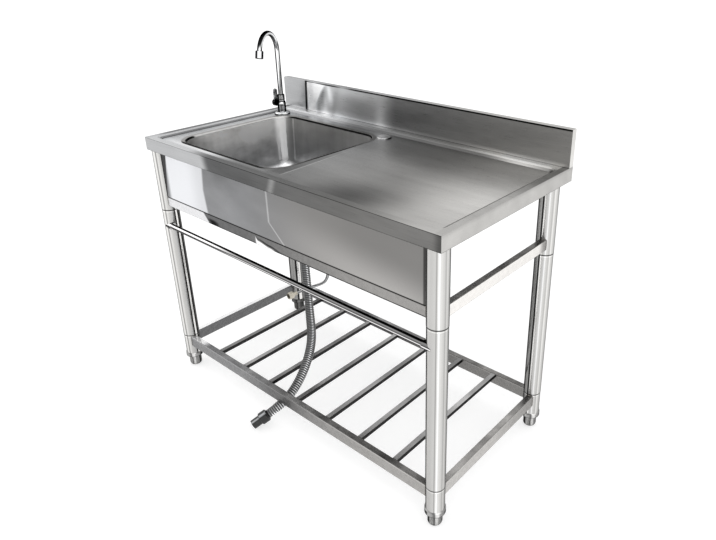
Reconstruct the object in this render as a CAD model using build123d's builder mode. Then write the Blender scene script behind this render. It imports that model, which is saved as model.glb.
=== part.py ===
from build123d import *
import os
from math import atan, cos, pi, radians, sin, sqrt, tan

# Free-standing stainless steel sink unit: one bowl on the left, a drainer on the right, a tubular
# stand with a slatted shelf, a gooseneck tap, and the hoses that hang below the bowl.
# Millimetres. X runs along the worktop, +Y to the wall, +Z up. The origin is on the floor, under the
# middle of the worktop.

os.makedirs("parts", exist_ok=True)

# ---------------------------------------------------------------- driving dimensions
# Worktop
unit_length = 1100
unit_depth = 550
worktop_height = 800
worktop_sheet = 1.2
apron_height = 38
upstand_height = 100
upstand_thickness = 20
rim_width = 19
step_run = 14
step_drop = 8
step_corner = 24
channel_width = 46
channel_depth = 18
channel_lip = 12
channel_spacing = 230

# Bowl
bowl_sheet = 1.0
bowl_length = 450
bowl_side_margin = 70
bowl_front_margin = 55
bowl_back_margin = 65
bowl_corner = 65
bowl_lip = 6
bowl_seam = 8
bowl_depth = 182
bowl_draft = 8
bowl_floor_radius = 36

# Stand
leg_inset = 28
leg_inset_back = 62
sleeve_od = 51
sleeve_wall = 1.2
leg_od = 50
leg_wall = 1.0
stub_od = 49
stub_rise = 4
spigot_wall = 1.5
spigot_reach = 45
slip_gap = 0.1
tube_end_chamfer = 0.5
sleeve_bottom = 574
rail_wall = 1.0
rail_corner = 2
rail_offset = 15
rail_width = 18
rail_height = 30
rail_bottom = 590
back_rail_bottom = 720
panel_sheet = 1.0
panel_lip = 12
shelf_rail_width = 18
shelf_rail_height = 36
shelf_top = 118
slat_width = 16
slat_height = 12
slat_count = 7
slat_gap_left = 152.5
slat_gap_right = 122.5
rod_od = 16
rod_wall = 1.2
rod_drop = 68
rod_ring_od = 21
rod_ring_width = 6

# Feet
foot_height = 39
foot_od = 38
foot_round = 9
foot_edge = 1
foot_gap = 0.3
stem_radius = 6
stem_length = 36
thread_gap = 0.05
plug_od = 54
plug_height = 14
plug_tongue = 26

# Tap
tap_inset = 61
tap_setback = 68
tap_gasket_height = 1
tap_hole_gap = 1
tap_bore_radius = 5
flange_radius = 26
flange_edge = 3
flange_height = 9
flange_lean = 0.7
shank_radius = 10
shank_length = 58
backnut_radius = 14
backnut_height = 10
waist_radius = 14
ball_radius = 14.5
ball_height = 34
collar_radius = 11.5
collar_height = 49
neck_radius = 9.5
neck_length = 12
spout_nut_radius = 11.8
spout_nut_height = 16
spout_nut_roof = 2
spout_od = 15.5
spout_bore = 12.5
spout_seat_depth = 20
spout_seat_gap = 0.3
spout_clearance = 0.05
arch_radius = 62
arch_height = 209
arch_sweep = 165
spout_turn = 26
aerator_radius = 12.3
aerator_length = 24
aerator_grip = 6
aerator_bore = 9
aerator_edge = 1.2
valve_boss_radius = 9.5
valve_boss_reach = 24
valve_stem_radius = 4
valve_stem_length = 8
lever_clearance = 0.05
lever_gap = 0.3
lever_hub_radius = 12
lever_hub_length = 11
lever_width = 11
lever_tip_width = 13
lever_thickness = 6
lever_length = 46
cover_radius = 22
cover_rise = 4
cover_edge = 1.5
cover_hole_radius = 17.5
cover_spigot_gap = 0.3
cover_spigot_length = 9

# Bowl outlet
outlet_setback = 55
outlet_hole_radius = 46
outlet_flange_radius = 56
outlet_flange_height = 2.5
outlet_sleeve_radius = 43
outlet_wall = 3
outlet_sleeve_length = 34
outlet_ledge_depth = 16
outlet_ledge_width = 5
outlet_gasket_radius = 54
outlet_gasket_height = 3
locknut_radius = 53
locknut_height = 10
cup_overlap = 14
cup_depth = 24
cup_cone = 20
tail_radius = 19
tail_length = 22
tail_nut_radius = 26
tail_nut_height = 24
basket_gap = 2
basket_seat_gap = 0.3
basket_sheet = 1
basket_depth = 14
basket_side_gap = 1.5
basket_draft = 2.5
basket_hole_radius = 2.5
basket_ring_radii = (12, 21)
basket_ring_counts = (8, 14)
basket_knob_radius = 6
basket_knob_height = 12
basket_knob_edge = 1.5

# Hoses
arc_share = 0.45
drain_radius = 14.5
drain_root_radius = 12.8
drain_bore_radius = 11.4
drain_rib_pitch = 6.4
drain_rib_profile = ((0, 0), (0.2, 0), (0.45, 1), (0.75, 1))
drain_straight_end = 29
cuff_radius = 18.5
cuff_length = 24
cuff_edge = 2
nozzle_radius = 14
nozzle_length = 26
supply_radius = 5.5
supply_bore_radius = 4
top_nut_radius = 13
top_nut_height = 18
top_nut_grip = 8
ferrule_radius = 7
ferrule_length = 16
end_nut_radius = 13
end_nut_length = 20
end_nut_bore_radius = 9.3
end_nut_bore_depth = 12

# Routes of the two free hoses, from the fitting above to the loose end.
drain_fall = [
    (-255, 40, 426),
    (-251, 38, 334),
    (-232, 25, 258),
    (-190, -8, 200),
    (-132, -54, 168),
    (-86, -108, 149),
    (-61, -163, 114),
    (-57, -212, 77),
    (-64, -256, 55),
]
drain_end = (-79.4, -287.4, 37.3)
supply_fall = [
    (-489, 187, 655),
    (-480, 188, 575),
    (-448, 190, 495),
    (-398, 194, 425),
    (-352, 198, 352),
    (-325, 200, 285),
    (-324, 201, 228),
    (-344, 204, 188),
    (-374, 207, 164),
    (-402, 203, 148),
    (-422, 189, 138),
    (-434, 166, 133),
]
supply_end = (-436, 138, 133)

# ---------------------------------------------------------------- places worked out from the sizes
half_length = unit_length / 2
front = -unit_depth / 2
back = unit_depth / 2
upstand_face = back - upstand_thickness
apron_bottom = worktop_height - apron_height
wet_level = worktop_height - step_drop
wet_underside = wet_level - worktop_sheet
wet_length = unit_length - 2 * rim_width
wet_width = upstand_face - front - 2 * rim_width
wet_y = (front + upstand_face) / 2
step_miter = worktop_sheet * tan(atan(step_drop / step_run) / 2)
bowl_width = upstand_face - front - bowl_front_margin - bowl_back_margin
bowl_x = -half_length + bowl_side_margin + bowl_length / 2
bowl_y = front + bowl_front_margin + bowl_width / 2
bowl_floor = wet_level - bowl_depth
drainer_left = bowl_x + bowl_length / 2 + bowl_seam
drainer_right = wet_length / 2 - step_run
drainer_middle = (drainer_left + drainer_right) / 2

leg_x = half_length - leg_inset
leg_front_y = front + leg_inset
leg_back_y = back - leg_inset_back
leg_span_y = leg_back_y - leg_front_y
corners = [
    ("front_left", -leg_x, leg_front_y),
    ("front_right", leg_x, leg_front_y),
    ("back_left", -leg_x, leg_back_y),
    ("back_right", leg_x, leg_back_y),
]
rail_top = rail_bottom + rail_height
rod_z = rail_bottom - rod_drop
shelf_bottom = shelf_top - shelf_rail_height
stub_bottom = foot_height + plug_height
stub_top = shelf_top + stub_rise

tap_x = -half_length + tap_inset
tap_y = upstand_face - tap_setback
tap_base = wet_level + tap_gasket_height
shank_bottom = wet_level - shank_length
ball_z = tap_base + ball_height
collar_z = tap_base + collar_height
neck_top = collar_z + neck_length
spout_bottom = neck_top - spout_seat_depth + spout_seat_gap
spare_hole_x = 2 * bowl_x - tap_x

outlet_y = bowl_y + outlet_setback
outlet_ledge = bowl_floor - outlet_ledge_depth
outlet_inside = outlet_sleeve_radius - outlet_wall
gasket_bottom = bowl_floor - bowl_sheet - outlet_gasket_height
cup_top = bowl_floor - outlet_sleeve_length + cup_overlap
tail_top = cup_top - cup_depth - cup_cone
tail_bottom = tail_top - tail_length
basket_seat = outlet_ledge + basket_seat_gap


def upright(x, y):
    """A sketch plane through a vertical axis: radius to the right, height up."""
    return Plane(origin=(x, y, 0), x_dir=(1, 0, 0), z_dir=(0, -1, 0))


def arc_radii(points):
    """The largest radius that the two runs beside each corner of a route allow."""
    runs = [Vector(*end) - Vector(*start) for start, end in zip(points, points[1:])]
    return [
        arc_share * min(one.length, two.length) / tan(radians(one.get_angle(two)) / 2)
        for one, two in zip(runs, runs[1:])
    ]


def finish(piece, label):
    """Names the finished piece and writes it to its own file."""
    piece.part.label = label
    export_step(piece.part, f"parts/{label}.step")


# ---------------------------------------------------------------- worktop
# One folded sheet: apron on all sides, raised rim, stepped wet area, hollow upstand along the back.
with BuildPart() as worktop_hollow:
    with BuildSketch(Plane.XY.offset(apron_bottom)):
        Rectangle(unit_length - 2 * worktop_sheet, unit_depth - 2 * worktop_sheet)
    extrude(amount=apron_height - worktop_sheet)
    with BuildSketch(Plane.XY.offset(worktop_height - worktop_sheet)):
        with Locations((0, back - upstand_thickness / 2)):
            Rectangle(unit_length - 2 * worktop_sheet, upstand_thickness - 2 * worktop_sheet)
    extrude(amount=upstand_height)
    for level, inset in ((worktop_height - worktop_sheet, 0), (wet_underside, step_run)):
        with BuildSketch(Plane.XY.offset(level)):
            with Locations((0, wet_y)):
                RectangleRounded(
                    wet_length + 2 * (step_miter - inset),
                    wet_width + 2 * (step_miter - inset),
                    step_corner + step_miter - inset,
                )
    loft(ruled=True, mode=Mode.SUBTRACT)

with BuildPart() as worktop:
    with BuildSketch(Plane.XY.offset(apron_bottom)):
        Rectangle(unit_length, unit_depth)
    extrude(amount=apron_height)
    with BuildSketch(Plane.XY.offset(worktop_height)):
        with Locations((0, back - upstand_thickness / 2)):
            Rectangle(unit_length, upstand_thickness)
    extrude(amount=upstand_height)
    upstand_top = worktop.faces().sort_by(Axis.Z)[-1].edges()
    front_fold = worktop.edges().filter_by(Axis.X).group_by(Axis.Y)[0].sort_by(Axis.Z)[-1]
    front_corners = worktop.edges().filter_by(Axis.Z).group_by(Axis.Y)[0]
    rim_face = worktop.faces().filter_by(Axis.Z).sort_by(Axis.Z)[-2]
    side_folds = rim_face.edges().filter_by(Axis.Y)
    fillet([*upstand_top, front_fold, *front_corners, *side_folds], radius=worktop_sheet)
    for level, inset in ((worktop_height, 0), (wet_level, step_run)):
        with BuildSketch(Plane.XY.offset(level)):
            with Locations((0, wet_y)):
                RectangleRounded(
                    wet_length - 2 * inset, wet_width - 2 * inset, step_corner - inset
                )
    loft(ruled=True, mode=Mode.SUBTRACT)
    add(worktop_hollow.part, mode=Mode.SUBTRACT)
    with BuildSketch(Plane.XY.offset(wet_underside)):
        with Locations((bowl_x, bowl_y)):
            RectangleRounded(
                bowl_length + 2 * bowl_seam, bowl_width + 2 * bowl_seam, bowl_corner + bowl_seam
            )
        with Locations((tap_x, tap_y)):
            Circle(shank_radius + tap_hole_gap)
        with Locations((spare_hole_x, tap_y)):
            Circle(cover_hole_radius)
    extrude(amount=worktop_sheet, mode=Mode.SUBTRACT)
finish(worktop, "worktop")

# Two hat channels welded under the drainer keep the sheet flat.
with BuildPart() as drainer_channels:
    channel_start = wet_y - wet_width / 2 + step_run
    with BuildSketch(Plane.XZ.offset(-channel_start)):
        for place in (
            drainer_middle - channel_spacing / 2,
            drainer_middle + channel_spacing / 2,
        ):
            with Locations((place, wet_underside - channel_depth / 2)):
                Rectangle(channel_width, channel_depth)
            with Locations((place, wet_underside - worktop_sheet / 2)):
                Rectangle(channel_width + 2 * channel_lip, worktop_sheet)
            with Locations((place, wet_underside - (channel_depth - worktop_sheet) / 2)):
                Rectangle(
                    channel_width - 2 * worktop_sheet,
                    channel_depth - worktop_sheet,
                    mode=Mode.SUBTRACT,
                )
    extrude(amount=-(wet_width - 2 * step_run))
finish(drainer_channels, "drainer_channels")

# ---------------------------------------------------------------- bowl
# Deep-drawn bowl with a rolled lip, let into the wet area flush with its sheet.
with BuildPart() as bowl_space:
    for level, inset in ((wet_level, bowl_lip), (bowl_floor, bowl_lip + bowl_draft)):
        with BuildSketch(Plane.XY.offset(level)):
            with Locations((bowl_x, bowl_y)):
                RectangleRounded(
                    bowl_length - 2 * inset, bowl_width - 2 * inset, bowl_corner - inset
                )
    loft(ruled=True)
    fillet(bowl_space.faces().sort_by(Axis.Z)[0].edges(), radius=bowl_floor_radius)
    with BuildSketch(Plane.XY.offset(wet_level)):
        with Locations((bowl_x, bowl_y)):
            Rectangle(bowl_length + 4 * bowl_seam, bowl_width + 4 * bowl_seam)
    extrude(amount=bowl_sheet)
    fillet(bowl_space.edges().filter_by(lambda e: e.is_interior), radius=bowl_lip)

with BuildPart() as bowl:
    outer_inset = bowl_lip - bowl_sheet
    for level, inset in (
        (wet_level - bowl_sheet, outer_inset),
        (bowl_floor - bowl_sheet, outer_inset + bowl_draft),
    ):
        with BuildSketch(Plane.XY.offset(level)):
            with Locations((bowl_x, bowl_y)):
                RectangleRounded(
                    bowl_length - 2 * inset, bowl_width - 2 * inset, bowl_corner - inset
                )
    loft(ruled=True)
    fillet(bowl.faces().sort_by(Axis.Z)[0].edges(), radius=bowl_floor_radius + bowl_sheet)
    with BuildSketch(Plane.XY.offset(wet_level - bowl_sheet)):
        with Locations((bowl_x, bowl_y)):
            RectangleRounded(
                bowl_length + 2 * bowl_seam, bowl_width + 2 * bowl_seam, bowl_corner + bowl_seam
            )
    extrude(amount=bowl_sheet)
    fillet(bowl.edges().filter_by(lambda e: e.is_interior), radius=bowl_lip - bowl_sheet)
    add(bowl_space.part, mode=Mode.SUBTRACT)
    with BuildSketch(Plane.XY.offset(bowl_floor)):
        with Locations((bowl_x, outlet_y)):
            Circle(outlet_hole_radius)
    extrude(amount=-bowl_sheet, mode=Mode.SUBTRACT)
finish(bowl, "bowl")

# ---------------------------------------------------------------- stand
# Upper leg tubes run from the joint up to the underside of the worktop.
for corner, x, y in corners:
    with BuildPart() as upper_leg:
        with BuildSketch(Plane.XY.offset(sleeve_bottom)):
            with Locations((x, y)):
                Circle(sleeve_od / 2)
                Circle(sleeve_od / 2 - sleeve_wall, mode=Mode.SUBTRACT)
        extrude(amount=wet_underside - sleeve_bottom)
        rim = upper_leg.edges().group_by(Axis.Z)[0].sort_by(SortBy.RADIUS)[-1]
        chamfer(rim, length=tube_end_chamfer)
    finish(upper_leg, f"upper_leg_{corner}")

# Lower leg tubes stand on the shelf corners.
for corner, x, y in corners:
    with BuildPart() as lower_leg:
        with BuildSketch(Plane.XY.offset(stub_top)):
            with Locations((x, y)):
                Circle(leg_od / 2)
                Circle(leg_od / 2 - leg_wall, mode=Mode.SUBTRACT)
        extrude(amount=sleeve_bottom - stub_top)
        rim = lower_leg.edges().group_by(Axis.Z)[0].sort_by(SortBy.RADIUS)[-1]
        chamfer(rim, length=tube_end_chamfer)
    finish(lower_leg, f"lower_leg_{corner}")

# Short posts at the shelf corners, with the shelf rails welded to them.
for corner, x, y in corners:
    with BuildPart() as shelf_corner:
        with BuildSketch(Plane.XY.offset(stub_bottom)):
            with Locations((x, y)):
                Circle(stub_od / 2)
                Circle(stub_od / 2 - leg_wall, mode=Mode.SUBTRACT)
        extrude(amount=stub_top - stub_bottom)
    finish(shelf_corner, f"shelf_corner_{corner}")

# Spigots hidden in the leg joints, above and below each joint.
spigots = (
    ("upper_spigots", sleeve_bottom, leg_od / 2 - leg_wall - slip_gap),
    ("lower_spigots", stub_top, stub_od / 2 - leg_wall - slip_gap),
)
for label, joint_z, radius in spigots:
    with BuildPart() as spigot_set:
        with BuildSketch(Plane.XY.offset(joint_z - spigot_reach / 2)):
            with Locations(*[(x, y) for corner, x, y in corners]):
                Circle(radius)
                Circle(radius - spigot_wall, mode=Mode.SUBTRACT)
        extrude(amount=spigot_reach)
    finish(spigot_set, label)

# End plugs close the posts and carry the threads of the feet.
with BuildPart() as leg_end_plugs:
    plug_places = [(x, y) for corner, x, y in corners]
    with BuildSketch(Plane.XY.offset(foot_height)):
        with Locations(*plug_places):
            Circle(plug_od / 2)
    extrude(amount=plug_height)
    chamfer(leg_end_plugs.edges().group_by(Axis.Z)[-1], length=(plug_od - stub_od) / 2)
    with BuildSketch(Plane.XY.offset(stub_bottom)):
        with Locations(*plug_places):
            Circle(stub_od / 2 - leg_wall - slip_gap)
    extrude(amount=plug_tongue)
    with BuildSketch(Plane.XY.offset(foot_height)):
        with Locations(*plug_places):
            Circle(stem_radius + thread_gap)
    extrude(amount=plug_height + plug_tongue, mode=Mode.SUBTRACT)
finish(leg_end_plugs, "leg_end_plugs")

# Levelling feet, screwed fully in.
for corner, x, y in corners:
    foot_top = foot_height - foot_gap
    with BuildPart() as foot:
        with BuildSketch(upright(x, y)):
            with BuildLine():
                Polyline(
                    (0, 0),
                    (foot_od / 2, 0),
                    (foot_od / 2, foot_top - foot_edge),
                    (foot_od / 2 - foot_edge, foot_top),
                    (stem_radius, foot_top),
                    (stem_radius, foot_top + stem_length),
                    (0, foot_top + stem_length),
                    close=True,
                )
            make_face()
        revolve(axis=Axis((x, y, 0), (0, 0, 1)))
        fillet(foot.edges().group_by(Axis.Z)[0], radius=foot_round)
    finish(foot, f"foot_{corner}")

# Rectangular tube rails between the legs, their ends coped to the round tubes. The upper back
# rail sits higher than the other three, close under the worktop.
rings = (
    ("upper_rail", rail_width, rail_height, rail_bottom, back_rail_bottom, sleeve_od),
    ("shelf_rail", shelf_rail_width, shelf_rail_height, shelf_bottom, shelf_bottom, stub_od),
)
for kind, width, height, low, back_low, post_od in rings:
    line = rail_offset - width / 2
    across = Plane.YZ.offset(-leg_x)
    along = Plane.XZ.offset(-leg_back_y)
    for side, plane, length, place, bottom in (
        ("front", across, 2 * leg_x, leg_front_y - line, low),
        ("back", across, 2 * leg_x, leg_back_y + line, back_low),
        ("left", along, leg_span_y, -leg_x - line, low),
        ("right", along, leg_span_y, leg_x + line, low),
    ):
        with BuildPart() as rail:
            with BuildSketch(plane):
                with Locations((place, bottom + height / 2)):
                    RectangleRounded(width, height, rail_corner)
                    RectangleRounded(
                        width - 2 * rail_wall,
                        height - 2 * rail_wall,
                        rail_corner - rail_wall,
                        mode=Mode.SUBTRACT,
                    )
            extrude(amount=length)
            with BuildSketch(Plane.XY.offset(bottom)):
                with Locations(*[(x, y) for corner, x, y in corners]):
                    Circle(post_od / 2)
            extrude(amount=height, mode=Mode.SUBTRACT)
        finish(rail, f"{kind}_{side}")

# Fascia between the front legs, standing on the front rail and closed by the worktop above.
with BuildPart() as front_panel:
    panel_face = leg_front_y - rail_offset
    panel_top = worktop_height - worktop_sheet
    with BuildSketch(Plane.YZ.offset(-leg_x)):
        with BuildLine():
            Polyline(
                (panel_face, rail_top),
                (panel_face + panel_lip, rail_top),
                (panel_face + panel_lip, rail_top + panel_sheet),
                (panel_face + panel_sheet, rail_top + panel_sheet),
                (panel_face + panel_sheet, panel_top),
                (panel_face, panel_top),
                close=True,
            )
        make_face()
    extrude(amount=2 * leg_x)
    with BuildSketch(Plane.XY.offset(rail_top)):
        with Locations((-leg_x, leg_front_y), (leg_x, leg_front_y)):
            Circle(sleeve_od / 2)
    extrude(amount=panel_top - rail_top, mode=Mode.SUBTRACT)
finish(front_panel, "front_panel")

# Towel rod from front leg to front leg, with a ring at each end.
with BuildPart() as towel_rod:
    rod_chord = sqrt((leg_od / 2) ** 2 - rail_offset**2)
    with BuildSketch(Plane.YZ.offset(-leg_x)):
        with Locations((leg_front_y - rail_offset, rod_z)):
            Circle(rod_od / 2)
            Circle(rod_od / 2 - rod_wall, mode=Mode.SUBTRACT)
    extrude(amount=2 * leg_x)
    for start in (-leg_x, leg_x - rod_chord - rod_ring_width):
        with BuildSketch(Plane.YZ.offset(start)):
            with Locations((leg_front_y - rail_offset, rod_z)):
                Circle(rod_ring_od / 2)
                Circle(rod_od / 2, mode=Mode.SUBTRACT)
        extrude(amount=rod_chord + rod_ring_width)
    with BuildSketch(Plane.XY.offset(rod_z - rod_ring_od / 2)):
        with Locations((-leg_x, leg_front_y), (leg_x, leg_front_y)):
            Circle(leg_od / 2)
    extrude(amount=rod_ring_od, mode=Mode.SUBTRACT)
finish(towel_rod, "towel_rod")

# Shelf slats between the front and back shelf rails, tops level with the rails.
slat_span = 2 * (leg_x + rail_offset - shelf_rail_width)
slat_pitch = (slat_span - slat_gap_left - slat_gap_right - slat_width) / (slat_count - 1)
slat_front = leg_front_y - rail_offset + shelf_rail_width
slat_back = leg_back_y + rail_offset - shelf_rail_width
for number in range(1, slat_count + 1):
    slat_x = -slat_span / 2 + slat_gap_left + slat_width / 2 + (number - 1) * slat_pitch
    with BuildPart() as slat:
        with BuildSketch(Plane.XZ.offset(-slat_back)):
            with Locations((slat_x, shelf_top - slat_height / 2)):
                RectangleRounded(slat_width, slat_height, rail_corner)
                RectangleRounded(
                    slat_width - 2 * rail_wall,
                    slat_height - 2 * rail_wall,
                    rail_corner - rail_wall,
                    mode=Mode.SUBTRACT,
                )
        extrude(amount=slat_back - slat_front)
    finish(slat, f"shelf_slat_{number}")

# ---------------------------------------------------------------- tap
with BuildPart() as tap_gasket:
    with BuildSketch(Plane.XY.offset(wet_level)):
        with Locations((tap_x, tap_y)):
            Circle(flange_radius)
            Circle(shank_radius, mode=Mode.SUBTRACT)
    extrude(amount=tap_gasket_height)
finish(tap_gasket, "tap_gasket")

# Turned body: threaded shank, domed flange, waist, ball and the neck that holds the spout. The valve
# boss points to the left and carries the stem of the lever.
with BuildPart() as tap_body:
    with BuildSketch(upright(tap_x, tap_y)):
        with BuildLine():
            flange_top = (waist_radius, tap_base + flange_height)
            ball_side = sqrt(ball_radius**2 - waist_radius**2)
            ball_lower = (waist_radius, ball_z - ball_side)
            ball_upper = (collar_radius, ball_z + sqrt(ball_radius**2 - collar_radius**2))
            Polyline(
                (waist_radius, tap_base + flange_height),
                ball_lower,
            )
            ThreePointArc(ball_lower, (ball_radius, ball_z), ball_upper)
            Polyline(
                ball_upper,
                (collar_radius, collar_z),
                (neck_radius, collar_z),
                (neck_radius, neck_top),
                (spout_od / 2 + spout_clearance, neck_top),
                (spout_od / 2 + spout_clearance, neck_top - spout_seat_depth),
                (tap_bore_radius, neck_top - spout_seat_depth),
                (tap_bore_radius, shank_bottom),
                (shank_radius, shank_bottom),
                (shank_radius, tap_base),
                (flange_radius, tap_base),
                (flange_radius, tap_base + flange_edge),
            )
            TangentArc((flange_radius, tap_base + flange_edge), flange_top, tangent=(-flange_lean, 1))
        make_face()
    revolve(axis=Axis((tap_x, tap_y, 0), (0, 0, 1)))
    with BuildSketch(Plane.YZ.offset(tap_x - valve_boss_reach)):
        with Locations((tap_y, ball_z)):
            Circle(valve_boss_radius)
    extrude(amount=valve_boss_reach - neck_radius)
    with BuildSketch(Plane.YZ.offset(tap_x - valve_boss_reach)):
        with Locations((tap_y, ball_z)):
            Circle(valve_stem_radius)
    extrude(amount=-valve_stem_length)
finish(tap_body, "tap_body")

with BuildPart() as tap_backnut:
    with BuildSketch(Plane.XY.offset(wet_underside - backnut_height)):
        with Locations((tap_x, tap_y)):
            RegularPolygon(radius=backnut_radius, side_count=6)
            Circle(shank_radius, mode=Mode.SUBTRACT)
    extrude(amount=backnut_height)
finish(tap_backnut, "tap_backnut")

with BuildPart() as spout_nut:
    with BuildSketch(Plane.XY.offset(collar_z)):
        with Locations((tap_x, tap_y)):
            Circle(spout_nut_radius)
            Circle(neck_radius, mode=Mode.SUBTRACT)
    extrude(amount=spout_nut_height - spout_nut_roof)
    with BuildSketch(Plane.XY.offset(collar_z + spout_nut_height - spout_nut_roof)):
        with Locations((tap_x, tap_y)):
            Circle(spout_nut_radius)
            Circle(spout_od / 2 + spout_clearance, mode=Mode.SUBTRACT)
    extrude(amount=spout_nut_roof)
    crown = spout_nut.edges().group_by(Axis.Z)[-1].sort_by(SortBy.RADIUS)[-1]
    chamfer(crown, length=spout_nut_roof / 2)
finish(spout_nut, "spout_nut")

# Bent tube that swivels about the tap's axis.
spout_plane = Plane(
    origin=(tap_x, tap_y, 0),
    x_dir=(sin(radians(spout_turn)), -cos(radians(spout_turn)), 0),
    z_dir=(-cos(radians(spout_turn)), -sin(radians(spout_turn)), 0),
)
with BuildPart() as spout:
    with BuildLine(spout_plane) as spout_line:
        riser = Line((0, spout_bottom), (0, wet_level + arch_height))
        arch = JernArc(
            start=(0, wet_level + arch_height),
            tangent=(0, 1),
            radius=arch_radius,
            arc_size=-arch_sweep,
        )
        Line(arch @ 1, arch @ 1 + (arch % 1) * aerator_grip)
    with BuildSketch(Plane(origin=(tap_x, tap_y, spout_bottom))):
        Circle(spout_od / 2)
        Circle(spout_bore / 2, mode=Mode.SUBTRACT)
    sweep()
finish(spout, "spout")

with BuildPart() as aerator:
    spout_path = spout_line.wire()
    outlet_plane = Plane(origin=spout_path @ 1, z_dir=spout_path % 1)
    with BuildSketch(outlet_plane.offset(-aerator_grip)):
        Circle(aerator_radius)
        Circle(spout_od / 2, mode=Mode.SUBTRACT)
    extrude(amount=aerator_grip)
    with BuildSketch(outlet_plane):
        Circle(aerator_radius)
        Circle(aerator_bore, mode=Mode.SUBTRACT)
    extrude(amount=aerator_length - aerator_grip)
    lip = aerator.edges().filter_by(GeomType.CIRCLE).group_by(SortBy.RADIUS)[-1]
    chamfer(lip, length=aerator_edge)
finish(aerator, "aerator")

# Lever on the valve stem: a round hub and a flat arm that widens to its tip.
with BuildPart() as tap_lever:
    hub_face = tap_x - valve_boss_reach - lever_gap
    arm_face = hub_face - (lever_hub_length - lever_thickness) / 2
    with BuildSketch(Plane.YZ.offset(hub_face)):
        with Locations((tap_y, ball_z)):
            Circle(lever_hub_radius)
    extrude(amount=-lever_hub_length)
    with BuildSketch(Plane.YZ.offset(arm_face)):
        with BuildLine():
            tip_z = ball_z + lever_length - lever_tip_width / 2
            right_root = (tap_y + lever_width / 2, ball_z)
            right_tip = (tap_y + lever_tip_width / 2, tip_z)
            left_tip = (tap_y - lever_tip_width / 2, tip_z)
            left_root = (tap_y - lever_width / 2, ball_z)
            Line(right_root, right_tip)
            ThreePointArc(right_tip, (tap_y, ball_z + lever_length), left_tip)
            Line(left_tip, left_root)
            Line(left_root, right_root)
        make_face()
    extrude(amount=-lever_thickness)
    with BuildSketch(Plane.YZ.offset(hub_face)):
        with Locations((tap_y, ball_z)):
            Circle(valve_stem_radius + lever_clearance)
    extrude(amount=-valve_stem_length, mode=Mode.SUBTRACT)
finish(tap_lever, "tap_lever")

# Cap in the spare tap hole.
with BuildPart() as hole_cover:
    with BuildSketch(Plane.XY.offset(wet_level)):
        with Locations((spare_hole_x, tap_y)):
            Circle(cover_radius)
    extrude(amount=cover_rise)
    fillet(hole_cover.edges().group_by(Axis.Z)[-1], radius=cover_edge)
    with BuildSketch(Plane.XY.offset(wet_level)):
        with Locations((spare_hole_x, tap_y)):
            Circle(cover_hole_radius - cover_spigot_gap)
    extrude(amount=-cover_spigot_length)
finish(hole_cover, "hole_cover")

# ---------------------------------------------------------------- bowl outlet
outlet_axis = Axis((bowl_x, outlet_y, 0), (0, 0, 1))
with BuildPart() as outlet_flange:
    with BuildSketch(upright(bowl_x, outlet_y)):
        with BuildLine():
            ledge_bottom = outlet_ledge - outlet_wall
            sleeve_end = bowl_floor - outlet_sleeve_length
            Polyline(
                (outlet_sleeve_radius, bowl_floor),
                (outlet_flange_radius, bowl_floor),
                (outlet_inside + outlet_flange_height, bowl_floor + outlet_flange_height),
                (outlet_inside, bowl_floor),
                (outlet_inside, outlet_ledge),
                (outlet_inside - outlet_ledge_width, outlet_ledge),
                (outlet_inside - outlet_ledge_width, ledge_bottom),
                (outlet_inside, ledge_bottom),
                (outlet_inside, sleeve_end),
                (outlet_sleeve_radius, sleeve_end),
                close=True,
            )
        make_face()
    revolve(axis=outlet_axis)
finish(outlet_flange, "outlet_flange")

with BuildPart() as outlet_gasket:
    with BuildSketch(Plane.XY.offset(gasket_bottom)):
        with Locations((bowl_x, outlet_y)):
            Circle(outlet_gasket_radius)
            Circle(outlet_sleeve_radius, mode=Mode.SUBTRACT)
    extrude(amount=outlet_gasket_height)
finish(outlet_gasket, "outlet_gasket")

with BuildPart() as outlet_locknut:
    with BuildSketch(Plane.XY.offset(gasket_bottom - locknut_height)):
        with Locations((bowl_x, outlet_y)):
            RegularPolygon(radius=locknut_radius, side_count=8)
            Circle(outlet_sleeve_radius, mode=Mode.SUBTRACT)
    extrude(amount=locknut_height)
finish(outlet_locknut, "outlet_locknut")

# Cup screwed on the sleeve, narrowing to the tail pipe.
with BuildPart() as outlet_body:
    with BuildSketch(upright(bowl_x, outlet_y)):
        with BuildLine():
            cone_top = cup_top - cup_depth
            Polyline(
                (outlet_sleeve_radius, cup_top),
                (outlet_sleeve_radius + outlet_wall, cup_top),
                (outlet_sleeve_radius + outlet_wall, cone_top),
                (tail_radius, tail_top),
                (tail_radius, tail_bottom),
                (tail_radius - outlet_wall, tail_bottom),
                (tail_radius - outlet_wall, tail_top),
                (outlet_sleeve_radius, cone_top),
                close=True,
            )
        make_face()
    revolve(axis=outlet_axis)
finish(outlet_body, "outlet_body")

with BuildPart() as tail_nut:
    with BuildSketch(Plane.XY.offset(tail_bottom)):
        with Locations((bowl_x, outlet_y)):
            Circle(tail_nut_radius)
            Circle(tail_radius, mode=Mode.SUBTRACT)
    extrude(amount=tail_nut_height / 2)
    with BuildSketch(Plane.XY.offset(tail_bottom)):
        with Locations((bowl_x, outlet_y)):
            Circle(tail_nut_radius)
            Circle(drain_bore_radius, mode=Mode.SUBTRACT)
    extrude(amount=-tail_nut_height / 2)
finish(tail_nut, "tail_nut")

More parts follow.
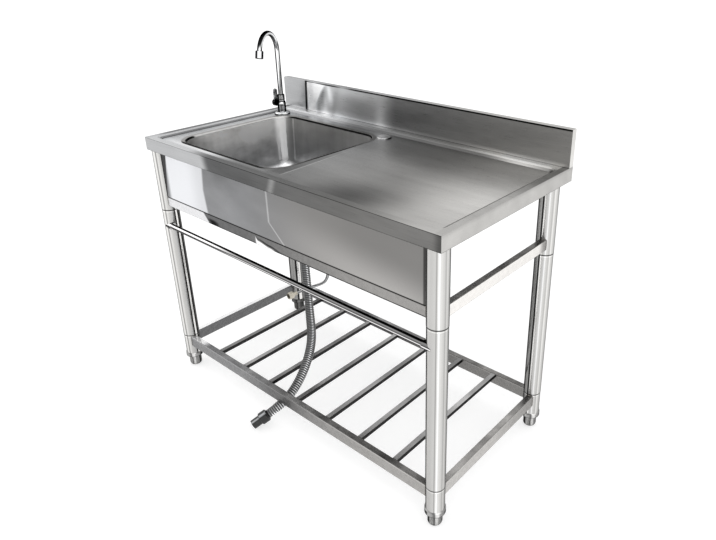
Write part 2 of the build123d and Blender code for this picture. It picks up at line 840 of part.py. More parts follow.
# Perforated basket that lifts out by its knob.
with BuildPart() as strainer_basket:
    basket_rim = outlet_inside - basket_gap
    basket_side = outlet_inside - outlet_ledge_width - basket_side_gap
    basket_bottom = basket_seat - basket_depth
    basket_inner_floor = basket_bottom + basket_sheet
    knob_top = basket_inner_floor + basket_knob_height
    with BuildSketch(upright(bowl_x, outlet_y)):
        with BuildLine():
            Polyline(
                (0, basket_bottom),
                (basket_side - basket_draft, basket_bottom),
                (basket_side, basket_seat),
                (basket_rim, basket_seat),
                (basket_rim, basket_seat + basket_sheet),
                (basket_side - basket_sheet, basket_seat + basket_sheet),
                (basket_side - basket_draft - basket_sheet, basket_inner_floor),
                (basket_knob_radius, basket_inner_floor),
                (basket_knob_radius, knob_top - basket_knob_edge),
                (basket_knob_radius - basket_knob_edge, knob_top),
                (0, knob_top),
                close=True,
            )
        make_face()
    revolve(axis=outlet_axis)
    with BuildSketch(Plane.XY.offset(basket_bottom)):
        for ring_radius, hole_count in zip(basket_ring_radii, basket_ring_counts):
            with Locations((bowl_x, outlet_y)):
                with PolarLocations(ring_radius, hole_count):
                    Circle(basket_hole_radius)
    extrude(amount=basket_sheet, mode=Mode.SUBTRACT)
finish(strainer_basket, "strainer_basket")

# ---------------------------------------------------------------- hoses
# Ribbed drain hose: straight runs and tangent arcs, with ribs lofted along them round a plain bore.
drain_route = [(bowl_x, outlet_y, tail_bottom - tail_nut_height / 2), *drain_fall, drain_end]
drain_radii = arc_radii(drain_route)
steady_axis = (0.95, 0.3, 0)
with BuildPart() as drain_bore:
    with BuildLine() as drain_line:
        FilletPolyline(*drain_route, radius=drain_radii)
    drain_path = drain_line.wire()
    with BuildSketch(Plane(origin=drain_path @ 0, x_dir=steady_axis, z_dir=drain_path % 0)):
        Circle(drain_bore_radius)
    sweep()

drain_length = drain_path.length
ribbed_length = drain_length - 2 * drain_straight_end
rib_count = round(ribbed_length / drain_rib_pitch)
rib_step = ribbed_length / rib_count
drain_stations = [(0, drain_root_radius), (drain_straight_end / 2, drain_root_radius)]
for rib in range(rib_count):
    for share, crest in drain_rib_profile:
        place = drain_straight_end + (rib + share) * rib_step
        drain_stations.append(
            (place, drain_root_radius + crest * (drain_radius - drain_root_radius))
        )
drain_stations.append((drain_length - drain_straight_end, drain_root_radius))
drain_stations.append((drain_length, drain_root_radius))
with BuildPart() as drain_hose:
    for place, radius in drain_stations:
        centre = drain_path.position_at(place, position_mode=PositionMode.LENGTH)
        heading = drain_path.tangent_at(place, position_mode=PositionMode.LENGTH)
        with BuildSketch(Plane(origin=centre, x_dir=steady_axis, z_dir=heading)):
            Circle(radius)
    loft(ruled=True)
    add(drain_bore.part, mode=Mode.SUBTRACT)
finish(drain_hose, "drain_hose")
print("drain hose length", round(drain_length), "ribs", rib_count)
print("drain hose radii", [round(radius) for radius in drain_radii])

# Cuff and nozzle at the loose end of the drain hose.
with BuildPart() as hose_cuff:
    cuff_plane = Plane(origin=drain_path @ 1, x_dir=steady_axis, z_dir=drain_path % 1)
    with BuildSketch(cuff_plane):
        Circle(cuff_radius)
    extrude(amount=cuff_length)
    chamfer(hose_cuff.edges().filter_by(GeomType.CIRCLE), length=cuff_edge)
    with BuildSketch(cuff_plane.offset(cuff_length)):
        Circle(nozzle_radius)
    extrude(amount=nozzle_length)
    with BuildSketch(cuff_plane):
        Circle(drain_bore_radius)
    extrude(amount=cuff_length + nozzle_length, mode=Mode.SUBTRACT)
finish(hose_cuff, "hose_cuff")

# Supply hose: the nut on the tap's shank, the hose, and the loose nut at its lower end.
with BuildPart() as supply_top_nut:
    nut_bottom = shank_bottom - top_nut_height + top_nut_grip
    with BuildSketch(Plane.XY.offset(nut_bottom)):
        with Locations((tap_x, tap_y)):
            RegularPolygon(radius=top_nut_radius, side_count=6)
    extrude(amount=top_nut_height)
    with BuildSketch(Plane.XY.offset(nut_bottom)):
        with Locations((tap_x, tap_y)):
            Circle(ferrule_radius)
    extrude(amount=-ferrule_length)
    with BuildSketch(Plane.XY.offset(shank_bottom)):
        with Locations((tap_x, tap_y)):
            Circle(shank_radius)
    extrude(amount=top_nut_grip, mode=Mode.SUBTRACT)
    with BuildSketch(Plane.XY.offset(nut_bottom - ferrule_length)):
        with Locations((tap_x, tap_y)):
            Circle(supply_bore_radius)
    extrude(amount=top_nut_height + ferrule_length, mode=Mode.SUBTRACT)
finish(supply_top_nut, "supply_top_nut")

supply_route = [(tap_x, tap_y, nut_bottom - ferrule_length), *supply_fall, supply_end]
supply_radii = arc_radii(supply_route)
with BuildPart() as supply_hose:
    with BuildLine() as supply_line:
        FilletPolyline(*supply_route, radius=supply_radii)
    supply_path = supply_line.wire()
    with BuildSketch(Plane(origin=supply_path @ 0, z_dir=supply_path % 0)):
        Circle(supply_radius)
        Circle(supply_bore_radius, mode=Mode.SUBTRACT)
    sweep()
finish(supply_hose, "supply_hose")
supply_section = supply_radius**2 - supply_bore_radius**2
print("supply hose length", round(supply_path.length))
print("supply hose radii", [round(radius) for radius in supply_radii])
print("supply hose volume", supply_hose.part.volume / (pi * supply_section * supply_path.length))

with BuildPart() as supply_end_nut:
    end_plane = Plane(origin=supply_path @ 1, z_dir=supply_path % 1)
    with BuildSketch(end_plane):
        Circle(ferrule_radius)
    extrude(amount=ferrule_length)
    with BuildSketch(end_plane.offset(ferrule_length)):
        RegularPolygon(radius=end_nut_radius, side_count=6)
    extrude(amount=end_nut_length)
    with BuildSketch(end_plane):
        Circle(supply_bore_radius)
    extrude(amount=ferrule_length + end_nut_length, mode=Mode.SUBTRACT)
    with BuildSketch(end_plane.offset(ferrule_length + end_nut_length - end_nut_bore_depth)):
        Circle(end_nut_bore_radius)
    extrude(amount=end_nut_bore_depth, mode=Mode.SUBTRACT)
finish(supply_end_nut, "supply_end_nut")
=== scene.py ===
# Kitchen sink unit: a stainless steel top with one bowl and a drainer on a tubular stand, with its
# tap and hoses, dressed for the render. Metres, in the frame of the CAD.
import math

import bpy
import numpy as np
from mathutils import Matrix


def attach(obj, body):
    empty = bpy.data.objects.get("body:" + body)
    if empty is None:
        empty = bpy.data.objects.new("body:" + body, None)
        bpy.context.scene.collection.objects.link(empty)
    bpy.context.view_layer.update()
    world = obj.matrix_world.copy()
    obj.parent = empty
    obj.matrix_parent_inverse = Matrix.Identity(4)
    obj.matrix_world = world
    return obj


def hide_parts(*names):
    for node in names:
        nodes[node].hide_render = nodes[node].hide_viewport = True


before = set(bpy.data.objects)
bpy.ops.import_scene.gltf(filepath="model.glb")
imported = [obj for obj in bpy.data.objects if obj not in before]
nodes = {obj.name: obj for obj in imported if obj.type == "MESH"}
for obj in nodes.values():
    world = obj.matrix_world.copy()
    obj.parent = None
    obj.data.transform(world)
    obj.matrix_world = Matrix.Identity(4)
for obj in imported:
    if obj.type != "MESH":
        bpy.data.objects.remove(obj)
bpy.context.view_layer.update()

# ---------------------------------------------------------------- studio
# A wide pale floor under an even white sky, two soft lamps, and the camera at the photograph's
# place: in front to the right, half a metre above the worktop, looking down at the whole unit.
scene = bpy.context.scene
scene.view_settings.view_transform = "Standard"
scene.view_settings.look = "None"

eye = (1.221525, -1.15926, 1.310708)
yaw, pitch, roll = -0.679, -0.411, 0.004
ahead = np.array(
    (math.sin(yaw) * math.cos(pitch), math.cos(yaw) * math.cos(pitch), math.sin(pitch))
)
level = np.array((math.cos(yaw), -math.sin(yaw), 0))
rise = np.cross(level, ahead)
picture_right = math.cos(roll) * level + math.sin(roll) * rise
picture_up = math.cos(roll) * rise - math.sin(roll) * level
placing = np.eye(4)
placing[:3] = np.c_[picture_right, picture_up, -ahead, eye]

lens = bpy.data.cameras.new("camera")
lens.sensor_width = 36
lens.lens = 31.776
lens.shift_x = -0.09312
lens.shift_y = -0.06509
lens.clip_end = 100
camera = bpy.data.objects.new("camera", lens)
scene.collection.objects.link(camera)
camera.matrix_world = Matrix(placing)
scene.camera = camera

floor = bpy.data.meshes.new("floor")
reach = 60
floor.from_pydata(
    [(-reach, -reach, 0), (reach, -reach, 0), (reach, reach, 0), (-reach, reach, 0)],
    [],
    [(0, 1, 2, 3)],
)
ground = bpy.data.objects.new("floor", floor)
scene.collection.objects.link(ground)
pale_paint = bpy.data.materials.new("pale floor")
pale_paint.use_nodes = True
for socket, value in {
    "Base Color": (0.55, 0.55, 0.55, 1),
    "Roughness": 0.9,
    "Specular IOR Level": 0.1,
    "Emission Color": (1, 1, 1, 1),
    "Emission Strength": 0.6,
}.items():
    pale_paint.node_tree.nodes["Principled BSDF"].inputs[socket].default_value = value
floor.materials.append(pale_paint)

sky = bpy.data.worlds.new("studio")
scene.world = sky
sky.use_nodes = True
sky.node_tree.nodes["Background"].inputs["Color"].default_value = (1, 1, 1, 1)
sky.node_tree.nodes["Background"].inputs["Strength"].default_value = 1.0


def softbox(name, place, target, size, power):
    """A square lamp of that size in metres and power in watts, turned to face the target."""
    lamp = bpy.data.lights.new(name, "AREA")
    lamp.shape = "SQUARE"
    lamp.size = size
    lamp.energy = power
    box = bpy.data.objects.new(name, lamp)
    scene.collection.objects.link(box)
    forward = np.array(target, float) - np.array(place, float)
    forward /= np.linalg.norm(forward)
    side = np.cross(forward, (0, 0, 1))
    side /= np.linalg.norm(side)
    turned = np.eye(4)
    turned[:3] = np.c_[side, np.cross(side, forward), -forward, place]
    box.matrix_world = Matrix(turned)


softbox("key", (2.4, -1.6, 3.0), (0, 0, 0.6), 1.8, 14)
softbox("fill", (-2.6, -1.4, 2.2), (0, 0, 0.5), 2.0, 8)

# ---------------------------------------------------------------- worktop
# One sheet of satin stainless steel, folded into rims, apron and upstand and stepped down round the
# wet board. Its grain runs along the front; two channels of the same sheet are welded underneath.
class Shade:
    """A value in a finish's nodes. Sums, products and powers of shades add Math nodes."""

    def __init__(self, finish, socket):
        self.finish = finish
        self.socket = socket

    def __add__(self, other):
        return self.finish.maths("ADD", self, other)

    def __radd__(self, other):
        return self.finish.maths("ADD", other, self)

    def __sub__(self, other):
        return self.finish.maths("SUBTRACT", self, other)

    def __rsub__(self, other):
        return self.finish.maths("SUBTRACT", other, self)

    def __mul__(self, other):
        return self.finish.maths("MULTIPLY", self, other)

    def __rmul__(self, other):
        return self.finish.maths("MULTIPLY", other, self)

    def __pow__(self, other):
        return self.finish.maths("POWER", self, other)

    def __abs__(self):
        return self.finish.maths("ABSOLUTE", self)


class Finish:
    """One surface finish: a material with its place (x, y, z) and its facing (nx, ny, nz)."""

    def __init__(self, name, **constants):
        self.material = bpy.data.materials.new(name)
        self.material.use_nodes = True
        self.tree = self.material.node_tree
        self.shader = self.tree.nodes["Principled BSDF"]
        for socket, value in constants.items():
            self.shader.inputs[socket.replace("_", " ")].default_value = value
        self.place = self.node("ShaderNodeTexCoord", {}, {}, "Object")
        self.x, self.y, self.z = self.split(self.place)
        self.nx, self.ny, self.nz = self.split(self.node("ShaderNodeTexCoord", {}, {}, "Normal"))

    def node(self, kind, settings, sockets, out=0):
        """Adds a node: its kind, then its settings, then what its sockets hold or are fed."""
        step = self.tree.nodes.new(kind)
        for setting, value in settings.items():
            setattr(step, setting, value)
        for socket, value in sockets.items():
            if isinstance(value, Shade):
                self.tree.links.new(value.socket, step.inputs[socket])
            else:
                step.inputs[socket].default_value = value
        return Shade(self, step.outputs[out])

    def maths(self, operation, *values):
        """A Math node on shades and numbers."""
        return self.node("ShaderNodeMath", {"operation": operation}, dict(enumerate(values)))

    def split(self, vector):
        """The three parts of a vector."""
        parts = self.node("ShaderNodeSeparateXYZ", {}, {0: vector}).socket.node.outputs
        return [Shade(self, part) for part in parts]

    def toward(self, direction):
        """How far the surface turns to a direction: 1 when it faces it, -1 when it faces away."""
        aim = np.array(direction, float)
        across, along, up = aim / np.linalg.norm(aim)
        return self.nx * float(across) + self.ny * float(along) + self.nz * float(up)

    def rise(self, value, start, end):
        """0 before start, 1 past end, smooth between them; start may be the larger."""
        low, high = min(start, end), max(start, end)
        step = self.node(
            "ShaderNodeMapRange",
            {"interpolation_type": "SMOOTHSTEP"},
            {"Value": value, "From Min": low, "From Max": high},
        )
        return step if start < end else 1 - step

    def near(self, value, centre, width):
        """A soft bump, 1 at the centre and 0 from that width away on either side."""
        return self.rise(abs(value - centre), width, 0)

    def ramp(self, value, *stops):
        """A tone read from a value, smooth between stops of (value, tone)."""
        start, span = stops[0][0], stops[-1][0] - stops[0][0]
        step = self.node("ShaderNodeValToRGB", {}, {0: (value - start) * (1 / span)})
        band = step.socket.node.color_ramp
        band.interpolation = "EASE"
        while len(band.elements) < len(stops):
            band.elements.new(1)
        for mark, (position, tone) in zip(band.elements, stops):
            mark.position = (position - start) / span
            mark.color = (tone, tone, tone, 1)
        return step

    def noise(self, stretch, detail=2.0):
        """Cloudy noise round 0.5; stretch is how many clouds fit in a metre each way."""
        field = self.node("ShaderNodeMapping", {}, {"Vector": self.place, "Scale": stretch})
        sockets = {"Vector": field, "Scale": 1.0, "Detail": detail}
        return self.node("ShaderNodeTexNoise", {}, sockets)

    def tint(self, tone, cool, warm=None, share=0.5):
        """
        A colour between a cool and a warm grey, of a brightness told on the eye's scale: 0 is
        black, 1 white, and its power 2.2 the light.
        """
        # Sockets 0, 6 and 7 of a Mix are its share and its two colours; output 2 is the colour.
        hue = self.node(
            "ShaderNodeMix",
            {"data_type": "RGBA"},
            {0: share, 6: (*cool, 1), 7: (*(warm or cool), 1)},
            2,
        )
        light = self.maths("MAXIMUM", tone, 0.0) ** 2.2
        return self.node("ShaderNodeVectorMath", {"operation": "SCALE"}, {0: hue, "Scale": light})

    def set(self, **fed):
        """Feeds sockets of the shader, each named with underscores for its spaces."""
        for socket, value in fed.items():
            self.tree.links.new(value.socket, self.shader.inputs[socket.replace("_", " ")])

    def bump(self, height, strength, distance):
        """Roughens the surface by a height, which counts as that distance in metres."""
        sockets = {"Height": height, "Strength": strength, "Distance": distance}
        self.set(Normal=self.node("ShaderNodeBump", {}, sockets))

    def on(self, *pieces):
        """Gives each piece this finish in place of what it has."""
        for piece in pieces:
            piece.data.materials.clear()
            piece.data.materials.append(self.material)


def cover(under, over, mask):
    """One tone laid over another: nothing of it where the mask is 0, all of it where it is 1."""
    return under + (over - under) * mask


cool_steel, warm_steel = (0.975, 0.985, 1.0), (1.0, 0.985, 0.955)
deck_z, board_z, apron_foot, upstand_top = 0.8, 0.792, 0.762, 0.9
rim_edge = 0.531
bowl_front, bowl_right = -0.22, -0.03

# Every tone laid on the worktop below is a painted reflection or painted shade.
top = Finish("worktop steel", Metallic=0.86, Roughness=0.3, Specular_Tint=(0.6, 0.6, 0.6, 1))
facing_front = top.rise(top.ny, -0.5, -0.85)
facing_right = top.rise(top.nx, 0.5, 0.85)
on_upstand = top.rise(top.z, deck_z + 0.0004, deck_z + 0.001)
on_rim = top.rise(top.z, deck_z - 0.0045, deck_z - 0.0015)

# Painted reflections on the board: grey with one dark patch by the front, lightening to its right
# end, and lightest left of the bowl and in front of it.
board = 0.48 + 0.26 * top.rise(top.x, 0.22, 0.5) + 0.11 * top.rise(top.y, -0.24, -0.1)
board = board - 0.05 * top.rise(top.y, -0.02, 0.12)
reflected_dark_patch = top.near(top.x - 0.4 * top.y, 0.33, 0.17) * top.rise(top.y, -0.02, -0.22)
board = cover(board - 0.17 * reflected_dark_patch, 0.87, top.rise(top.x, -0.14, -0.36))
# A painted reflection lies as a light strip in front of the bowl, with a painted light line along
# it.
front_strip = top.rise(top.y, bowl_front + 0.006, bowl_front - 0.004)
strip_tone = 0.94 - 0.46 * top.rise(top.x, -0.32, -0.14)
board = cover(board, strip_tone, front_strip * top.rise(top.x, -0.04, -0.1))
front_highlight = top.near(top.y, bowl_front - 0.012, 0.005) * top.rise(top.x, bowl_right, -0.06)
board = board + 0.1 * front_highlight * top.rise(top.x, -0.5, -0.44)
# A ground weld seam runs beside the bowl: a darker strip that ends in a light line.
seam_strip = top.rise(top.x, -0.05, bowl_right) * top.rise(top.x, 0.006, 0.001)
seam_line = top.near(top.x + 0.04 * (top.y + 0.2), 0.004, 0.004)
along_bowl = top.rise(top.y, -0.235, -0.21) * top.rise(top.y, 0.05, -0.08)
board = board - 0.1 * seam_strip * along_bowl + 0.24 * seam_line * along_bowl
# Painted reflections on the step round it: bright at both ends of the side that turns to the front,
# and a tone of their own on each other side.
step_to_front = top.rise(top.ny, -0.2, -0.4) * (1 - facing_front)
bright_ends = 0.46 + 0.3 * top.rise(top.x, -0.16, -0.3) + 0.42 * top.near(top.x, 0.43, 0.14)
step_to_back = 0.8 - 0.42 * top.rise(top.x, -0.3, -0.1) + 0.36 * top.rise(top.x, 0.24, 0.5)
board = cover(board, bright_ends, step_to_front)
board = cover(board, step_to_back, top.rise(top.ny, 0.2, 0.4))
board = cover(board, 0.42, top.rise(top.nx, -0.2, -0.4))
board = cover(board, 0.5, top.rise(top.nx, 0.2, 0.4) * (1 - facing_right))
# Painted shade: round the bowl a thin dark line lies in the crease along the foot of the step.
crease_shade = top.near(top.z, board_z + 0.0008, 0.0009) * top.rise(top.x, 0.1, -0.1)
board = board - 0.22 * crease_shade * (1 - step_to_front)

# The rims' tones along their lengths are painted reflections.
front_rim = 0.87 - 0.46 * top.rise(top.x, -0.34, -0.22) + 0.34 * top.rise(top.x, 0.24, 0.54)
back_rim = 1.04 - 0.42 * top.rise(top.x, -0.36, -0.1) + 0.5 * top.near(top.x, 0.43, 0.25)
right_rim = 0.72 - 0.1 * top.rise(top.y, -0.02, 0.16)
left_rim = 0.48 + 0.34 * top.rise(top.y, -0.2, -0.25)
rim = cover(front_rim, back_rim, top.rise(top.y, 0.22, 0.235))
rim = cover(rim, right_rim, top.rise(top.x, rim_edge - 0.0005, rim_edge + 0.0015))
rim = cover(rim, left_rim, top.rise(top.x, -rim_edge + 0.0005, -rim_edge - 0.0015))
# Painted shade: thin dark lines follow the folds, inside and outside of the rim.
fold_shade = top.near(top.z, deck_z - 0.0011, 0.0009) * (1 - facing_front) * (1 - facing_right)
rim = rim - 0.2 * fold_shade

# Painted reflection on the apron: a light wall on the left, a dark room past it, one narrow light
# band.
foot_fold = top.rise(top.z, apron_foot + 0.0015, apron_foot + 0.0005)
apron = 0.72 - 0.36 * top.rise(top.x + 0.24 * (top.z - deck_z), -0.275, -0.235)
apron = apron + 0.07 * top.rise(top.x, -0.1, 0.5) - 0.12 * top.rise(top.x, 0.525, 0.548)
apron = apron + 0.16 * top.near(top.x - 0.4 * (top.z - 0.78), 0.028, 0.02)
# Painted shade darkens the aprons at their foot fold and just under the rim.
apron = apron - 0.2 * foot_fold - 0.22 * top.rise(top.z, deck_z - 0.0025, deck_z - 0.0005)
right_apron = 0.74 - 0.05 * top.rise(top.z, deck_z - 0.01, deck_z - 0.001) - 0.2 * foot_fold

# Painted reflections on the upstand: crumpled light left of the middle, with the tap's dark line
# and a bright wedge beside it, then a dark wall. Its top edge is light over a painted shade line.
crumpled_reflection = top.noise((22.0, 22.0, 9.0), detail=1.0)
middle_z = 0.85
bright_fold = top.x + 0.25 * (middle_z - top.z) * top.rise(top.x, -0.45, -0.35)
tap_reflection = top.x - 0.055 * (top.z - middle_z)
reflected_wedge = top.rise(top.x, -0.434, -0.43) * top.rise(top.x - 0.78 * (top.z - 0.809), -0.404, -0.42)
light_end = 0.8 + 1.5 * (crumpled_reflection - 0.5) * top.near(top.x, -0.36, 0.1)
light_end = light_end - 0.14 * top.near(top.x, -0.19, 0.12) * top.rise(top.z, 0.89, middle_z)
light_end = light_end + 0.2 * top.near(bright_fold, -0.4, 0.03)
light_end = light_end - 0.1 * top.rise(top.x, -0.437, -0.445)
light_end = light_end - 0.95 * top.near(tap_reflection, -0.4395, 0.0072) + 0.35 * reflected_wedge
light_end = light_end + 0.14 * top.near(top.x, -0.1, 0.035) * top.rise(top.z, 0.89, 0.82)
dark_wall_reflection = 0.52 + 0.06 * top.rise(top.x, 0.1, 0.4)
upstand = cover(light_end, dark_wall_reflection, top.rise(top.x, -0.1, -0.03))
crest_shade = top.near(top.z, upstand_top - 0.0022, 0.0036) * top.rise(top.x, -0.442, -0.436)
upstand = upstand - 0.9 * crest_shade * (1 - 0.8 * top.near(top.x, -0.26, 0.07))
upstand = upstand + 0.1 * top.rise(top.z, deck_z + 0.012, deck_z + 0.003)
top_edge = 0.74 - 0.18 * top.near(top.x, -0.24, 0.12) + 0.06 * top.rise(top.x, 0, 0.5)

low_part = cover(cover(board, rim, on_rim), apron, facing_front)
low_part = cover(low_part, right_apron, facing_right)
high_part = cover(cover(top_edge, upstand, facing_front), 0.88, facing_right)
tone = cover(low_part, high_part, on_upstand)
unseen = top.rise(top.ny, 0.5, 0.85) + top.rise(top.nx, -0.5, -0.85) + top.rise(top.nz, -0.5, -0.8)
tone = cover(tone, 0.6, unseen)
grain = top.noise((18.0, 800.0, 800.0))
cloud = top.noise((5.0, 9.0, 9.0))
smear = top.noise((3.0, 26.0, 26.0), detail=3.0)
tone = tone + 0.09 * (grain - 0.5) + 0.1 * (cloud - 0.5) + 0.1 * (smear - 0.5)
top.set(
    Base_Color=top.tint(tone, cool_steel, warm_steel, top.rise(top.x, -0.3, 0.4)),
    Roughness=0.22 + 0.16 * grain,
)
top.bump(grain, 0.12, 0.0003)
top.on(nodes["worktop"])

channel = Finish("channel steel", Metallic=0.86, Roughness=0.4)
grain = channel.noise((540.0, 27.0, 540.0))
channel.set(Base_Color=channel.tint(0.52 + 0.12 * (grain - 0.5), cool_steel))
channel.bump(grain, 0.1, 0.0003)
channel.on(nodes["drainer_channels"])

# ---------------------------------------------------------------- bowl
# Deep-drawn from thinner sheet and seam-welded flush into the board. Drawing leaves its walls
# cloudy; painted highlights stand in upright streaks at the polished corners.
bowl_x, bowl_y = -0.255, -0.015

drawn = Finish(
    "bowl steel",
    Metallic=0.8,
    Roughness=0.3,
    Specular_Tint=(0.25, 0.25, 0.25, 1),
    Emission_Strength=1.0,
)
# Painted reflections and shade on the walls: lighter high up and towards the back, darker down to
# the floor and towards the front.
height = drawn.rise(drawn.z, 0.66, 0.79)
streaks = drawn.noise((40.0, 40.0, 4.0))
clouds = drawn.noise((12.0, 12.0, 22.0), detail=3.0)
left_wall = 0.64 + 0.32 * height + 0.6 * (clouds - 0.5) - 0.16 * drawn.rise(drawn.y, -0.1, -0.19)
left_wall = left_wall + (0.06 + 0.16 * height) * drawn.rise(drawn.y, -0.04, 0.08)
back_wall = 0.63 + 0.08 * drawn.rise(drawn.x, -0.3, -0.08) + 0.14 * (clouds - 0.5)
walls = cover(left_wall, back_wall, drawn.rise(drawn.ny, -0.6, -0.93))
walls = walls + 0.06 * drawn.rise(drawn.nx, -0.3, -0.8) + 0.12 * drawn.rise(drawn.ny, 0.3, 0.8)
# Painted highlights: one broad and two thin upright streaks where the corners turn to the window.
main_highlight = drawn.rise(drawn.toward((0.8, -0.6, 0)), 0.97, 0.985)
thin_highlight = drawn.rise(drawn.toward((0.95, -0.32, 0)), 0.992, 0.999)
back_highlight = drawn.rise(drawn.toward((0.25, -0.97, 0)), 0.996, 0.9995)
walls = cover(walls, 1.0, main_highlight) + 0.2 * thin_highlight + 0.2 * back_highlight
base = 0.68 + 0.1 * (clouds - 0.5)
tone = cover(walls, base, drawn.rise(drawn.nz, 0.35, 0.85))
# A painted glint lies along the fillet at the foot of the left wall, towards its back end.
glint = drawn.near(drawn.nz, 0.62, 0.26) * drawn.rise(drawn.nx, 0.3, 0.5)
glint = glint * drawn.rise(drawn.y, 0.0, 0.13)
tone = cover(tone, 1.0, glint)
# Painted reflection on the rolled lip: light where it turns to the window, dark where it turns
# away.
on_lip = drawn.rise(drawn.z, board_z - 0.0068, board_z - 0.0052)
away = drawn.rise(drawn.ny, 0.03, 0.14)
away = away + drawn.rise(drawn.ny, -0.3, -0.6) * drawn.rise(drawn.x, -0.46, -0.43)
away = away + drawn.rise(drawn.nx, -0.04, -0.16) * drawn.near(drawn.y, -0.03, 0.13)
tone = cover(tone, 0.78 - 0.72 * away, on_lip)
# Its flat flange goes on in the board's painted tone, with painted shadow lines in front of the
# bowl and beside it.
on_flange = drawn.rise(drawn.z, board_z - 0.0007, board_z - 0.0003)
flange = 0.48 + 0.28 * drawn.rise(drawn.x, -0.14, -0.36)
shadow_before = drawn.rise(drawn.y, bowl_front + 0.0035, bowl_front + 0.002)
shadow_before = shadow_before * drawn.rise(drawn.y, bowl_front - 0.0075, bowl_front - 0.006)
shadow_before = shadow_before * drawn.rise(drawn.x, -0.46, -0.43) * drawn.rise(drawn.x, -0.05, -0.09)
shadow_beside = drawn.near(drawn.x, bowl_right + 0.003, 0.006) * drawn.near(drawn.y, -0.03, 0.16)
flange = flange * (1 - 0.85 * shadow_before) * (1 - 0.75 * shadow_beside)
tone = cover(tone, flange, on_flange) + 0.12 * (streaks - 0.5)
# Its outside was left as drawn: dull, with faint clouds.
outward = (drawn.x - bowl_x) * drawn.nx + (drawn.y - bowl_y) * drawn.ny - 0.2 * drawn.nz
outside = drawn.rise(outward, 0.03, 0.1)
tone = cover(tone, 0.5 + 0.12 * (clouds - 0.5), outside)
# Painted glow: the corner's highlight and glint get light of their own, to outshine what the steel
# there mirrors.
painted_glow = 0.45 * main_highlight * drawn.rise(drawn.z, 0.63, 0.66) + 0.5 * glint
drawn.set(
    Emission_Color=drawn.tint(painted_glow * (1 - outside), (1.0, 1.0, 1.0)),
    Base_Color=drawn.tint(tone, (0.985, 0.99, 1.0), (1.0, 0.99, 0.97), height),
    Roughness=0.24 + 0.14 * clouds,
)
drawn.bump(streaks, 0.08, 0.0003)
drawn.on(nodes["bowl"])

# ---------------------------------------------------------------- fascia
# Thin polished sheet spot-welded between the front legs. Painted reflections on it show a pale wall
# at the left, a dark edge past it and one thin light line.
panel_foot = 0.62

panel = Finish("fascia steel", Metallic=0.86, Roughness=0.22)
wall_edge = -0.297 + 0.12 * abs(panel.z - 0.69)
on_wall = panel.rise(panel.x - wall_edge, 0.006, -0.006)
reflected_pale_wall = 0.87 - 0.38 * panel.rise(panel.x, -0.47, -0.49)
reflected_pale_wall = reflected_pale_wall - 0.06 * panel.rise(panel.x, -0.38, -0.3)
dark_top = 0.32 + 0.16 * panel.rise(panel.x, -0.27, -0.1) + 0.1 * panel.near(panel.x, -0.27, 0.05)
pale_foot = 0.5 + 0.16 * panel.rise(panel.x, -0.1, 0.45)
reflected_room = cover(dark_top, pale_foot, panel.rise(panel.z + 0.14 * panel.x, 0.77, 0.66))
tone = cover(reflected_room, reflected_pale_wall, on_wall)
reflected_line = -0.012 + 1.1 * panel.maths("MAXIMUM", 0.67 - panel.z, 0.0)
tone = tone + 0.17 * panel.near(panel.x - reflected_line, 0, 0.006)
swirl = panel.noise((7.0, 7.0, 16.0), detail=3.0)
tone = tone + 0.16 * (swirl - 0.5) * (1 - on_wall) * panel.rise(panel.x, 0.1, -0.1)
haze = panel.noise((4.0, 4.0, 4.0), detail=1.0)
tone = tone + 0.06 * (haze - 0.5)
# It meets the rail below and the leg at its right end in thin dark joints.
tone = tone * (1 - 0.6 * panel.rise(panel.z, panel_foot + 0.0018, panel_foot + 0.0005))
tone = tone * (1 - 0.5 * panel.rise(panel.x, 0.492, 0.497))
# Painted shadow: the left leg throws a dark wedge on its end, wide at the top.
painted_dark_wedge = panel.rise(panel.x - 0.18 * (panel.z - panel_foot), -0.496, -0.5)
tone = cover(tone, 0.1, painted_dark_wedge)
panel.set(
    Base_Color=panel.tint(
        tone, (0.96, 0.97, 1.0), (1.0, 0.975, 0.945), panel.rise(panel.x, -0.15, 0.2)
    ),
    Roughness=0.16 + 0.12 * haze,
)
panel.bump(panel.noise((540.0, 540.0, 18.0)), 0.05, 0.0002)
panel.on(nodes["front_panel"])

# ---------------------------------------------------------------- legs
# Thin stainless tube in three lengths a leg, each slipped over a spigot at the joint. Painted
# reflections stand in upright bands on the polish: dark at the edges, a white window beside the
# middle.
leg_joints = (0.574, 0.122)
